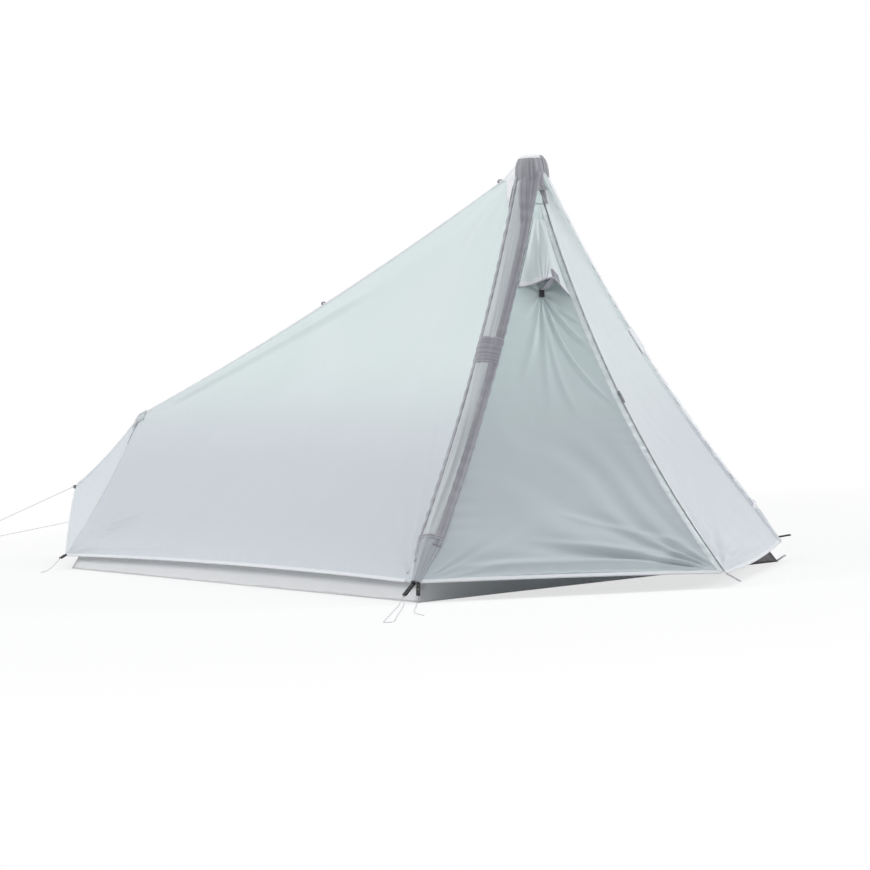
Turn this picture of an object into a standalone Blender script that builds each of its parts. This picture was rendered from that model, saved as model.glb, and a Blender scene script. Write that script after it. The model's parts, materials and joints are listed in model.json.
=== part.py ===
"""Ultralight one-person tent held up by two trekking poles and a short foot pole.

The fly is cut from curved cloth panels that meet at mitred seams. Two sleeves run
from the head corners to the peak and bow inwards under the pull of the panels, and
each holds a telescoping trekking pole bent along the same arc. Inside hangs an inner
tent: a floor tub, mesh walls and a hinged mesh door.

Metres, +Z up. The origin is the middle of the floor's underside, +X points to the
porch at the head end and -Y is the near side, which carries the door.
"""

import math

import bmesh
import bpy
import numpy as np
from mathutils import Matrix, Vector
from mathutils.bvhtree import BVHTree

# Fly plan and heights
FLY_LENGTH = 2.454
HEAD_WIDTH = 1.28
FOOT_WIDTH = 0.71
PEAK_HEIGHT = 1.20
PEAK_SET_BACK = 0.233
PORCH_DEPTH = 0.543
FOOT_PEAK_HEIGHT = 0.482
FOOT_PEAK_OVERHANG = 0.069
BEAK_REACH = 0.523
BEAK_HEIGHT = 0.247
BEAK_TIP_WIDTH = 0.030
HEAD_HEM_HEIGHT = 0.055
FOOT_HEM_HEIGHT = 0.043
PORCH_HEM_HEIGHT = 0.040

# How far edges bow and cloth bellies in
RIDGE_SAG = 0.027
HEM_BOW = 0.012
FOOT_SEAM_BOW = 0.014
BEAK_EDGE_BOW = 0.012
ZIP_BOW = 0.085
SIDE_BELLY = 0.040
PORCH_BELLY = 0.026
BEAK_BELLY = 0.010
FOLD_HEIGHT = 0.007
FOLD_COUNT = 5

# Cloth and seams
CLOTH = 0.0018
GAP = 0.0003
SEAM_GAP = 0.0006
TRIM_GAP = 0.0009
MITRE_SPREAD = 0.030
BUTT_FROM_HEIGHT = 0.55
BUTT_EASE = 0.35

# Pole sleeves
SLEEVE_BOW = 0.046
SLEEVE_HALF_WIDTH = 0.039
SLEEVE_HALF_DEPTH = 0.021
SLEEVE_WALL = 0.0015
POCKET_END_HALF_WIDTH = 0.014
POCKET_END_HALF_DEPTH = 0.0105
POCKET_LENGTH = 0.140
POCKET_FLOOR = 0.003
POCKET_STEPS = 4
SLEEVE_STEPS = 10
SLEEVE_PATCH_FROM = 0.695
SLEEVE_PATCH_LENGTH = 0.080
SLEEVE_PATCH_THICKNESS = 0.0012

# Peak cap and the cup that the grips push into
CAP_DROP = 0.085
CAP_OVERLAP = 0.004
CAP_HALF_LENGTH = 0.055
CAP_HALF_WIDTH = 0.075
CAP_RISE = 0.090
CAP_WALL = 0.0015
CAP_PLAN_POWER = 2.5
CAP_PROFILE_POWER = 2.3
CUP_SHARE = 0.46

# Trekking poles, distances measured up the pole from the pocket's end
POLE_TIP_RADIUS = 0.004
LOWER_SHAFT_RADIUS = 0.0065
MIDDLE_SHAFT_RADIUS = 0.0082
UPPER_SHAFT_RADIUS = 0.0100
SHAFT_WALL = 0.0011
CLAMP_RADIUS = 0.0125
CLAMP_LENGTH = 0.040
LOWER_CLAMP_AT = 0.420
UPPER_CLAMP_AT = 0.820
SHAFT_INSERTION = 0.120
POLE_TRAVEL = 0.250
GRIP_LENGTH = 0.200
GRIP_RADIUS = 0.014
LEVER_LENGTH = 0.021
LEVER_WIDTH = 0.008
LEVER_THICKNESS = 0.0035
ROUND_STEPS = 14

# Door, zip, vent
YOKE_DROP = 0.041
ZIP_TAPE_WIDTH = 0.014
ZIP_TAPE_RISE = 0.0008
TAPE_THICKNESS = CLOTH + 0.0004
ZIP_SLOT = 0.0024
SLIDER_AT = 0.462
SLIDER_LENGTH = 0.014
SLIDER_WIDTH = 0.010
SLIDER_PLATE = 0.0018
PULL_LENGTH = 0.030
PULL_WIDTH = 0.006
PULL_THICKNESS = 0.0016
FLAP_THICKNESS = 0.0012
SLIDER_CLEARANCE = 0.0011
SLIDER_UNDER_WIDTH = 0.0033
SLIDER_LOW = 0.03
SLIDER_HIGH = 0.84
HOOD_HEM_AT = 0.742
HOOD_TOP_AT = 0.930
HOOD_ARCH = 0.050
HOOD_RISE = 0.068
HOOD_INSET = 0.003
VENT_WINDOW_U = (0.20, 0.68)
VENT_WINDOW_V = (0.782, 0.90)
WINDOW_CUT_DEPTH = 0.012
MESH = 0.0010
PROP_U = 0.42
PROP_ROOT_RISE = 0.014
PROP_TIP_GAP = 0.007
PROP_TIP_TUCK = 0.003
PROP_BOW = 0.09
PROP_WIDTH = 0.014
PROP_THICKNESS = 0.0024
PROP_TAB_LENGTH = 0.020
PROP_TAB_THICKNESS = 0.0036

# Inner tent
TUB_WALL_HEIGHT = 0.100
TUB_WALL_LEAN = 0.060
TUB_THICKNESS = 0.0018
TUB_HEAD_WIDTH = 1.268
TUB_FOOT_WIDTH = 0.690
TUB_FOOT_INSET = 0.020
INNER_PEAK_DROP = 0.130
INNER_PEAK_BACK = 0.020
INNER_PEAK_WIDTH = 0.024
INNER_FOOT_HEIGHT = 0.400
INNER_FOOT_TOP_WIDTH = 0.024
INNER_EDGE_BOW = 0.045
INNER_BELLY = 0.022
RIDGE_TAPE_LIFT = 0.0022
RIDGE_TAPE_THICKNESS = 0.0012
FOOT_POLE_SEARCH = 0.2
INNER_DOOR_U = (0.25, 0.66)
INNER_DOOR_V = (0.10, 0.62)

# Foot pole and the pieces on the ridge
FOOT_POLE_RADIUS = 0.0045
FOOT_POLE_BACK = 0.022
FOOT_TIP_RADIUS = 0.0055
FOOT_CAP_LENGTH = 0.022
RIDGE_PATCH_FRONT = 0.050
RIDGE_PATCH_BACK = 0.030
RIDGE_PATCH_DROP = 0.034
LOOP_LENGTH = 0.018
LOOP_HEIGHT = 0.009
LOOP_BAND = 0.002
MIDDLE_LOOP_SHARE = 0.505
FRONT_LOOP_SHARE = 0.93

# Lines
GUYLINE_DIAMETER = 0.0025
GUYLINE_END_X = -2.36
REAR_STAKE_X = -2.80
CORD_DIAMETER = 0.0022
ADJUSTER = (0.038, 0.013, 0.004)
HEAD_STRAP = (0.030, 0.009, 0.0016)
FOOT_ADJUSTER = (0.024, 0.012, 0.0026)
FLOOR_LOOP = (0.034, 0.012, 0.0016)
PORCH_LOOP = (0.060, 0.007, 0.0016)
ADJUSTER_RISE = 0.020
WEBBING = 0.0016
SEAT_SEARCH = 0.05
UNDER_SEARCH = 0.03
INNER_TAB_HEIGHT = 0.185
INNER_TAB_SIDE = 0.025
INNER_TAB_LENGTH = 0.018
BEAK_TAB_LENGTH = 0.022
BEAK_TAB_INSIDE = 0.008
BEAK_TAB_HEIGHT = 0.012

SIDE_KINK = 0.92
CAP_HEM_HEIGHT = PEAK_HEIGHT - CAP_DROP
PORCH_TOP_HEIGHT = CAP_HEM_HEIGHT - CAP_OVERLAP
DOOR_TOP_HEIGHT = PORCH_TOP_HEIGHT - YOKE_DROP
HEAD_X = FLY_LENGTH / 2

# Routes of the stake cords that lie on the ground
NEAR_HEAD_ROUTE = (
    (1.2181, -0.6754, 0.0229), (1.2181, -0.6796, 0.0186), (1.2260, -0.6930, 0.0070), (1.2560, -0.7190, 0.0014),
    (1.3400, -0.7880, 0.0014), (1.4400, -0.8680, 0.0014), (1.5400, -0.9480, 0.0014), (1.6250, -1.0170, 0.0014),
    (1.6470, -1.0280, 0.0014), (1.6560, -1.0120, 0.0014), (1.6380, -0.9910, 0.0014), (1.5960, -0.9600, 0.0014),
    (1.5000, -0.8880, 0.0014), (1.4000, -0.8110, 0.0014), (1.3000, -0.7350, 0.0014), (1.2500, -0.6980, 0.0022),
    (1.2300, -0.6840, 0.0120), (1.2241, -0.6784, 0.0198), (1.2241, -0.6754, 0.0229),
)
NEAR_FLOOR_ROUTE = (
    (1.2348, -0.6392, 0.0182), (1.2351, -0.6400, 0.0130), (1.2375, -0.6430, 0.0050), (1.2460, -0.6510, 0.0014),
    (1.2760, -0.6740, 0.0014), (1.3400, -0.7200, 0.0014), (1.4200, -0.7800, 0.0014), (1.5000, -0.8320, 0.0014),
    (1.5880, -0.8650, 0.0014),
)
NEAR_FOOT_ROUTE = (
    (-1.2056, -0.3819, 0.0380), (-1.2000, -0.3920, 0.0344), (-1.1850, -0.4220, 0.0180), (-1.1690, -0.4540, 0.0050),
    (-1.1500, -0.4900, 0.0014),
)
FOOT_X = -FLY_LENGTH / 2
UP = np.array((0.0, 0.0, 1.0))
ACROSS = np.array((0.0, 1.0, 0.0))
FORWARD = np.array((1.0, 0.0, 0.0))
PEAK = np.array((HEAD_X - PEAK_SET_BACK, 0.0, PEAK_HEIGHT))
PORCH_POINT = np.array((HEAD_X + PORCH_DEPTH, 0.0, PORCH_HEM_HEIGHT))
FOOT_PEAK = np.array((FOOT_X - FOOT_PEAK_OVERHANG, 0.0, FOOT_PEAK_HEIGHT))
BEAK_TIP = np.array((FOOT_X - BEAK_REACH, 0.0, BEAK_HEIGHT))
SIDES = (("near", -1.0), ("far", 1.0))


def unit(vector):
    """The vector at length one."""
    return vector / np.linalg.norm(vector)


def head_corner(side):
    """Hem corner at the head, where a sleeve ends."""
    return np.array((HEAD_X, side * HEAD_WIDTH / 2, HEAD_HEM_HEIGHT))


def foot_corner(side):
    """Hem corner at the foot."""
    return np.array((FOOT_X, side * FOOT_WIDTH / 2, FOOT_HEM_HEIGHT))


def smooth(value):
    """Eased step from 0 to 1."""
    value = min(max(value, 0.0), 1.0)
    return value * value * (3 - 2 * value)


class Arc:
    """Circular arc from start to end, its middle moved off the chord by depth towards a direction."""

    def __init__(self, start, end, towards, depth):
        chord = end - start
        self.length = np.linalg.norm(chord)
        self.along = chord / self.length
        self.side = unit(towards - self.along * (towards @ self.along))
        self.radius = (self.length**2 / 4 + depth**2) / (2 * depth)
        self.half = math.asin(self.length / 2 / self.radius)
        self.centre = (start + end) / 2 + self.side * (depth - self.radius)
        self.axis = np.cross(self.along, self.side)
        self.run = 2 * self.half * self.radius

    def angle(self, share):
        """Angle from the middle of the arc at a share of its run."""
        return self.half * (2 * share - 1)

    def point(self, share):
        """Point at a share of the run, from 0 to 1."""
        angle = self.angle(share)
        return self.centre + self.radius * (math.sin(angle) * self.along + math.cos(angle) * self.side)

    def tangent(self, share):
        """Direction of travel at a share of the run."""
        angle = self.angle(share)
        return math.cos(angle) * self.along - math.sin(angle) * self.side

    def radial(self, share):
        """Direction away from the arc's centre at a share of the run."""
        angle = self.angle(share)
        return math.cos(angle) * self.side + math.sin(angle) * self.along


class Patch:
    """Cloth surface blended between four edge curves, bellied inwards and folded.

    left and right run from the bottom to the top, bottom and top from left to right.
    """

    def __init__(self, left, right, bottom, top, facing, belly=0.0, folds=None):
        self.left, self.right, self.bottom, self.top = left, right, bottom, top
        self.facing = unit(facing)
        self.belly = belly
        self.folds = folds

    def point(self, u, v):
        """Point of the outer surface at u across and v up."""
        corners = (
            (1 - u) * (1 - v) * self.bottom(0.0)
            + u * (1 - v) * self.bottom(1.0)
            + (1 - u) * v * self.top(0.0)
            + u * v * self.top(1.0)
        )
        edges = (1 - v) * self.bottom(u) + v * self.top(u) + (1 - u) * self.left(v) + u * self.right(v)
        lift = -self.belly * 16 * u * (1 - u) * v * (1 - v)
        if self.folds:
            lift += self.folds(u, v)
        return edges - corners + self.facing * lift

    def slopes(self, u, v):
        """Surface directions across and up."""
        step = 1e-4
        u0, u1 = max(u - step, 0.0), min(u + step, 1.0)
        v0, v1 = max(v - step, 0.0), min(v + step, 1.0)
        across = unit(self.point(u1, v) - self.point(u0, v))
        upward = unit(self.point(u, v1) - self.point(u, v0))
        return across, upward

    def normal(self, u, v):
        """Outward normal."""
        across, upward = self.slopes(u, v)
        normal = unit(np.cross(across, upward))
        return normal if normal @ self.facing > 0 else -normal

    def width(self, v):
        """Straight width at height v."""
        return np.linalg.norm(self.point(1.0, v) - self.point(0.0, v))

    def height(self, u):
        """Straight height at u across."""
        return np.linalg.norm(self.point(u, 1.0) - self.point(u, 0.0))


class Rest:
    """Finished piece on whose faces other pieces are laid."""

    def __init__(self, piece):
        bpy.context.view_layer.update()
        graph = bpy.context.evaluated_depsgraph_get()
        mesh = bpy.data.meshes.new_from_object(piece.evaluated_get(graph), depsgraph=graph)
        mesh.transform(piece.matrix_world)
        work = bmesh.new()
        work.from_mesh(mesh)
        self.faces = BVHTree.FromBMesh(work)
        work.free()
        bpy.data.meshes.remove(mesh)

    def under(self, point, normal):
        """Point on the piece's faces straight under a point, or the point itself."""
        hit = self.faces.ray_cast(Vector(point + normal * UNDER_SEARCH), Vector(-normal), 2 * UNDER_SEARCH)[0]
        return point if hit is None else np.array(hit)

    def seat(self, root, along, flat, width, thickness):
        """Root point of a plate with a round end that runs off along a direction, a gap clear of the piece."""
        along = unit(along)
        start = Vector(root + along * SEAT_SEARCH)
        hit, normal = self.faces.ray_cast(start, Vector(-along), 2 * SEAT_SEARCH)[:2]
        if hit is None:
            hit, normal = self.faces.find_nearest(Vector(root))[:2]
        facing = unit(flat - along * (flat @ along))
        normal = np.array(normal)
        rise = max(normal @ along, 0.2)
        slope = abs(normal @ facing) / rise
        skew = abs(normal @ np.cross(facing, along)) / rise
        room = GAP + slope * thickness / 2 + width / 2 * (math.hypot(1.0, skew) - 1.0)
        return np.array(hit) + along * room


def collection(name):
    """New collection linked to the scene."""
    made = bpy.data.collections.new(name)
    bpy.context.scene.collection.children.link(made)
    return made


def finish(name, colour, roughness, metallic=0.0):
    """Principled material."""
    made = bpy.data.materials.new(name)
    made.use_nodes = True
    shader = made.node_tree.nodes["Principled BSDF"]
    shader.inputs["Base Color"].default_value = (*colour, 1.0)
    shader.inputs["Roughness"].default_value = roughness
    shader.inputs["Metallic"].default_value = metallic
    return made


WHITE_CLOTH = ((0.80, 0.83, 0.84), 0.45)
GREY_CLOTH = ((0.38, 0.37, 0.42), 0.60)
PALE_MESH = ((0.55, 0.57, 0.60), 0.80)
DARK_FLOOR = ((0.07, 0.065, 0.07), 0.55)
BLACK_PLASTIC = ((0.02, 0.02, 0.02), 0.40)
BLACK_FOAM = ((0.04, 0.04, 0.04), 0.90)
ALLOY = ((0.60, 0.61, 0.63), 0.30, 1.0)
PALE_CORD = ((0.62, 0.62, 0.64), 0.70)


def add_mesh(name, mesh, look, place=None, origin=None):
    """Object for a mesh with its own material; origin moves the object's origin there."""
    if origin is not None:
        mesh.transform(Matrix.Translation([-value for value in origin]))
    made = bpy.data.objects.new(name, mesh)
    if origin is not None:
        made.location = list(origin)
    if look:
        mesh.materials.append(finish(name + "_finish", *look))
    (place or PARTS).objects.link(made)
    return made


def mesh_from(name, vertices, faces, smooth_angle=30.0):
    """Closed mesh with its faces turned outwards."""
    mesh = bpy.data.meshes.new(name)
    mesh.from_pydata([tuple(vertex) for vertex in vertices], [], faces)
    work = bmesh.new()
    work.from_mesh(mesh)
    bmesh.ops.recalc_face_normals(work, faces=work.faces)
    work.to_mesh(mesh)
    work.free()
    mesh.shade_smooth()
    mesh.set_sharp_from_angle(angle=math.radians(smooth_angle))
    return mesh


def edge_lean(patch, edges, u, v, normal):
    """Direction in which the sheet's thickness runs at a mitred edge or corner."""
    across, upward = patch.slopes(u, v)
    planes = []
    leans = []
    for edge, lean in edges:
        leans.append(lean(u, v, normal))
        travel = upward if edge in ("left", "right") else across
        planes.append(np.cross(travel, leans[-1]))
    if len(leans) == 1:
        return leans[0]
    both = np.cross(planes[0], planes[1])
    if np.linalg.norm(both) < 0.2:
        return unit(leans[0] + leans[1])
    both = unit(both)
    return both if both @ normal > 0 else -both


def spread_lean(patch, mitres, u, v, normal):
    """Lean inside a sheet, which eases from each mitred side edge to the plain normal."""
    width = patch.width(v)
    lean = normal
    for edge, distance in (("left", u * width), ("right", (1 - u) * width)):
        if edge in mitres and distance < MITRE_SPREAD:
            share = 1 - distance / MITRE_SPREAD
            lean = unit(mitres[edge](u, v, normal) * share + lean * (1 - share))
    return lean


def sheet_points(patch, across, up, insets, outer, thickness, mitres):
    """Outer and inner point grids of a sheet over part of a patch."""
    left, right, bottom, top = insets
    last_column, last_row = len(across) - 1, len(up) - 1
    grids = ([], [])
    for row, v_share in enumerate(up):
        rows = ([], [])
        for column, u_share in enumerate(across):
            width = patch.width(v_share)
            height = patch.height(u_share)
            u_low, u_high = across[0] + left / width, across[-1] - right / width
            v_low, v_high = up[0] + bottom / height, up[-1] - top / height
            u = u_low + (u_high - u_low) * (u_share - across[0]) / (across[-1] - across[0])
            v = v_low + (v_high - v_low) * (v_share - up[0]) / (up[-1] - up[0])
            normal = patch.normal(u, v)
            edges = []
            if column == 0 and "left" in mitres:
                edges.append(("left", mitres["left"]))
            if column == last_column and "right" in mitres:
                edges.append(("right", mitres["right"]))
            if row == 0 and "bottom" in mitres:
                edges.append(("bottom", mitres["bottom"]))
            if row == last_row and "top" in mitres:
                edges.append(("top", mitres["top"]))
            if edges:
                lean = edge_lean(patch, edges, u, v, normal)
            else:
                lean = spread_lean(patch, mitres, u, v, normal)
            lean = lean / (lean @ normal)
            surface = patch.point(u, v)
            rows[0].append(surface + lean * outer)
            rows[1].append(surface + lean * (outer - thickness))
        grids[0].append(rows[0])
        grids[1].append(rows[1])
    return grids


def grid_solid(name, outer_grid, inner_grid):
    """Closed mesh between two point grids of the same size."""
    rows, columns = len(outer_grid), len(outer_grid[0])
    vertices = [point for grid in (outer_grid, inner_grid) for row in grid for point in row]
    inside = rows * columns

    def index(row, column):
        return row * columns + column

    def span(first, second):
        return np.linalg.norm(np.array(vertices[first]) - np.array(vertices[second]))

    faces = []
    for row in range(rows - 1):
        for column in range(columns - 1):
            quad = [index(row, column), index(row, column + 1)]
            quad += [index(row + 1, column + 1), index(row + 1, column)]
            if span(quad[0], quad[2]) > span(quad[1], quad[3]):
                quad = quad[1:] + quad[:1]
            for triangle in ((quad[0], quad[1], quad[2]), (quad[0], quad[2], quad[3])):
                faces.append(list(triangle))
                faces.append([inside + corner for corner in reversed(triangle)])
    rim = [index(0, column) for column in range(columns)]
    rim += [index(row, columns - 1) for row in range(1, rows)]
    rim += [index(rows - 1, column) for column in range(columns - 2, -1, -1)]
    rim += [index(row, 0) for row in range(rows - 2, 0, -1)]
    for start, end in zip(rim, rim[1:] + rim[:1]):
        faces.append([end, start, inside + start])
        faces.append([end, inside + start, inside + end])
    return mesh_from(name, vertices, faces)


def shares(low, high, count):
    """count + 1 evenly spaced values."""
    return [low + (high - low) * step / count for step in range(count + 1)]


def sheet(name, patch, look, across, up, insets=(0, 0, 0, 0), outer=0.0, thickness=CLOTH, mitres=None,
          place=None, origin=None):
    """Sheet of cloth over part of a patch; insets are left, right, bottom, top in metres."""
    grids = sheet_points(patch, across, up, insets, outer, thickness, mitres or {})
    return add_mesh(name, grid_solid(name, *grids), look, place, origin)


def loft(name, outer, look, inner=None, close_end=False, place=None, origin=None):
    """Solid, tube or cup through rings of points.

    Without inner rings it is solid. With them it is a tube, or a cup where close_end
    closes the last outer and the last inner ring.
    """
    count = len(outer[0])
    vertices = [point for ring in outer for point in ring]
    faces = []

    def skin(first, rings):
        for ring in range(rings - 1):
            for step in range(count):
                after = (step + 1) % count
                low, high = first + ring * count, first + (ring + 1) * count
                faces.append([low + step, low + after, high + after, high + step])

    skin(0, len(outer))
    if inner is None:
        faces.append(list(range(count)))
        faces.append([(len(outer) - 1) * count + step for step in range(count)])
        return add_mesh(name, mesh_from(name, vertices, faces), look, place, origin)
    first = len(vertices)
    vertices += [point for ring in inner for point in ring]
    skin(first, len(inner))
    ends = [(0, first)]
    outer_last, inner_last = (len(outer) - 1) * count, first + (len(inner) - 1) * count
    if close_end:
        faces.append([outer_last + step for step in range(count)])
        faces.append([inner_last + step for step in range(count)])
    else:
        ends.append((outer_last, inner_last))
    for outside, inside in ends:
        for step in range(count):
            after = (step + 1) % count
            faces.append([outside + step, outside + after, inside + after, inside + step])
    return add_mesh(name, mesh_from(name, vertices, faces), look, place, origin)


def cut(target, cutter, operation="DIFFERENCE"):
    """Boolean modifier."""
    change = target.modifiers.new(cutter.name, "BOOLEAN")
    change.operation = operation
    change.solver = "EXACT"
    change.object = cutter
    cutter.hide_render = True
    cutter.display_type = "WIRE"


def box_mesh(name, low, high):
    """Box between two corners."""
    work = bmesh.new()
    bmesh.ops.create_cube(work, size=1.0)
    for vertex in work.verts:
        for axis in range(3):
            vertex.co[axis] = low[axis] if vertex.co[axis] < 0 else high[axis]
    mesh = bpy.data.meshes.new(name)
    work.to_mesh(mesh)
    work.free()
    return mesh


def flat_outline(name, points, thickness, look, basis, location, bevel=0.0, place=None):
    """Flat outline in its own XY plane, thickness centred on it, placed by basis columns and location."""
    curve = bpy.data.curves.new(name, "CURVE")
    curve.dimensions = "2D"
    curve.fill_mode = "BOTH"
    curve.extrude = thickness / 2
    for loop in points:
        spline = curve.splines.new("POLY")
        spline.points.add(len(loop) - 1)
        for target, (x, y) in zip(spline.points, loop):
            target.co = (x, y, 0.0, 1.0)
        spline.use_cyclic_u = True
    made = bpy.data.objects.new(name, curve)
    made.matrix_world = frame_matrix(basis, location)
    curve.materials.append(finish(name + "_finish", *look))
    (place or PARTS).objects.link(made)
    if bevel:
        weld = made.modifiers.new("weld", "WELD")
        weld.merge_threshold = 0.00005
        soften = made.modifiers.new("soften", "BEVEL")
        soften.width = bevel
        soften.segments = 1
    return made


def frame_matrix(basis, location):
    """Placement from three axis directions and a point."""
    x, y, z = basis
    return Matrix(
        (
            (x[0], y[0], z[0], location[0]),
            (x[1], y[1], z[1], location[1]),
            (x[2], y[2], z[2], location[2]),
            (0.0, 0.0, 0.0, 1.0),
        )
    )


def round_outline(length, width, end_steps=6, tail=0.0):
    """Stadium from the origin along +X, its first end round about the origin."""
    radius = width / 2
    points = []
    for step in range(end_steps + 1):
        angle = math.pi / 2 + math.pi * step / end_steps
        points.append((radius * math.cos(angle), radius * math.sin(angle)))
    points.append((length - tail, -radius))
    points.append((length, -radius + tail))
    points.append((length, radius))
    return points


class Sleeve:
    """Arc, widths and directions of one pole sleeve."""

    def __init__(self, side):
        corner = head_corner(side)
        side_face = np.cross(PEAK - corner, foot_corner(side) - corner)
        porch_face = np.cross(PORCH_POINT - corner, PEAK - corner)
        side_face = unit(side_face) * (1 if side_face[1] * side > 0 else -1)
        porch_face = unit(porch_face) * (1 if porch_face[0] > 0 else -1)
        self.side_face, self.porch_face = side_face, porch_face
        self.arc = Arc(corner, PEAK, -(side_face + porch_face), SLEEVE_BOW)
        self.wide = self.arc.axis if self.arc.axis[0] > 0 else -self.arc.axis

    def share(self, distance):
        """Share of the arc at a distance up the pole."""
        return distance / self.arc.run

    def outward(self, share):
        """Direction out of the tent at a share of the run."""
        return -self.arc.radial(share)

    def half_width(self, share):
        """Half the sleeve's flat width, drawn in at the foot pocket."""
        ease = smooth(share * self.arc.run / POCKET_LENGTH)
        return POCKET_END_HALF_WIDTH + (SLEEVE_HALF_WIDTH - POCKET_END_HALF_WIDTH) * ease

    def half_depth(self, share):
        """Half the sleeve's thickness."""
        ease = smooth(share * self.arc.run / POCKET_LENGTH)
        return POCKET_END_HALF_DEPTH + (SLEEVE_HALF_DEPTH - POCKET_END_HALF_DEPTH) * ease

    def edge(self, share, direction, clearance=SEAM_GAP):
        """Panel edge beside the sleeve, on its porch side (+1) or its foot side (-1)."""
        return self.arc.point(share) + self.wide * direction * (self.half_width(share) + clearance)

    def ring(self, share, shrink=0.0, count=16):
        """Lens-shaped section."""
        width, depth = self.half_width(share) - shrink, self.half_depth(share) - shrink
        centre, out = self.arc.point(share), self.outward(share)
        turns = [2 * math.pi * step / count for step in range(count)]
        return [centre + self.wide * width * math.cos(a) + out * depth * math.sin(a) for a in turns]

    def circle(self, distance, radius, count=ROUND_STEPS):
        """Round section of the pole at a distance up it."""
        share = self.share(distance)
        centre, out = self.arc.point(share), self.outward(share)
        turns = [2 * math.pi * (step + 0.5) / count for step in range(count)]
        return [centre + radius * (self.wide * math.cos(a) + out * math.sin(a)) for a in turns]


SLEEVES = {name: Sleeve(side) for name, side in SIDES}


def door_top_share():
    """Height of the door's top edge as a share of the porch panels' height."""
    zip_line = zip_arc()
    return share_at_height(zip_line, DOOR_TOP_HEIGHT) / share_at_height(zip_line, PORCH_TOP_HEIGHT)


def sleeve_stations():
    """Shares of a sleeve's arc at which it and the panels beside it are divided."""
    arc = SLEEVES["near"].arc
    top = share_at_height(arc, PORCH_TOP_HEIGHT)
    pocket = POCKET_LENGTH / arc.run
    middle = shares(pocket, top * door_top_share(), SLEEVE_STEPS)
    return shares(0.0, pocket, POCKET_STEPS) + middle[1:] + [top]


def side_rows():
    """Rows of the side panel, which meet the sleeve's rings."""
    stations = sleeve_stations()
    top = share_at_height(SLEEVES["near"].arc, CAP_HEM_HEIGHT)
    return [SIDE_KINK * share / top for share in stations[:-1]] + [SIDE_KINK, 1.0]


def porch_rows():
    """Rows of the porch panels, which meet the sleeve's rings."""
    stations = sleeve_stations()
    return [share / stations[-1] for share in stations]


def in_middle_plane(u, v, normal):
    """Lean of a seam on the tent's middle plane."""
    return unit(normal - ACROSS * (normal @ ACROSS))


def beside_sleeve(sleeve, top=1.0):
    """Lean of an edge that runs along a sleeve."""
    return lambda u, v, normal: sleeve.outward(v * top)


def butt_share(sleeve, share):
    """How far a porch panel turns to butt against its sleeve, from 0 low down to 1 near the peak."""
    return smooth((sleeve.arc.point(share)[2] - BUTT_FROM_HEIGHT) / BUTT_EASE)


def butted_sleeve(sleeve, top):
    """Lean of a porch panel's edge along its sleeve."""

    def lean(u, v, normal):
        butt = butt_share(sleeve, v * top)
        return unit(sleeve.outward(v * top) * (1 - butt) + normal * butt)

    return lean


def ridge_arc():
    """Ridge from the foot peak up to the peak."""
    return Arc(FOOT_PEAK, PEAK, -UP, RIDGE_SAG)


def zip_arc():
    """Zip line from the porch point up to the peak."""
    return Arc(PORCH_POINT, PEAK, -FORWARD - UP * 0.6, ZIP_BOW)


def share_at_height(arc, height):
    """Share of an upward arc at a height, by halving."""
    low, high = 0.0, 1.0
    for _ in range(40):
        middle = (low + high) / 2
        if arc.point(middle)[2] < height:
            low = middle
        else:
            high = middle
    return (low + high) / 2


def side_patch(side, sleeve):
    """Long side panel from the foot seam to the sleeve."""
    front_top = share_at_height(sleeve.arc, CAP_HEM_HEIGHT)

    def front(v):
        if v <= SIDE_KINK:
            return sleeve.edge(front_top * v / SIDE_KINK, -1)
        rest = (v - SIDE_KINK) / (1 - SIDE_KINK)
        return sleeve.edge(front_top, -1) * (1 - rest) + PEAK * rest

    seam = Arc(foot_corner(side), FOOT_PEAK, sleeve.side_face, -FOOT_SEAM_BOW)
    hem = Arc(foot_corner(side), front(0.0), UP, HEM_BOW)
    return Patch(seam.point, front, hem.point, ridge_arc().point, sleeve.side_face, SIDE_BELLY)


def porch_folds(u, v):
    """Main folds that run out of the porch point and fade up the panel."""
    away = math.hypot(1 - u, v * 1.3)
    turn = math.atan2(v * 1.3, 1 - u + 1e-6)
    fade = smooth(away / 0.12) * (1 - smooth((away - 0.12) / 0.75))
    edge = smooth(u / 0.12) * smooth((1 - u) / 0.05) * smooth(v / 0.05)
    return FOLD_HEIGHT * math.cos(turn * 4 * FOLD_COUNT) * fade * edge


def porch_patch(side, sleeve):
    """Porch half from the sleeve to the zip line; v runs to the cap's hem."""
    zip_line = zip_arc()
    hinge_top = share_at_height(sleeve.arc, PORCH_TOP_HEIGHT)
    zip_top = share_at_height(zip_line, PORCH_TOP_HEIGHT)
    hem_facing = -UP if side > 0 else UP
    hem = Arc(sleeve.edge(0.0, 1), PORCH_POINT, hem_facing, HEM_BOW)
    left = lambda v: sleeve.edge(hinge_top * v, 1, SEAM_GAP + CLOTH * butt_share(sleeve, hinge_top * v))
    right = lambda v: zip_line.point(zip_top * v)
    top = lambda u: left(1.0) * (1 - u) + right(1.0) * u
    return Patch(left, right, hem.point, top, sleeve.porch_face, PORCH_BELLY, porch_folds), hinge_top, zip_top


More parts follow.
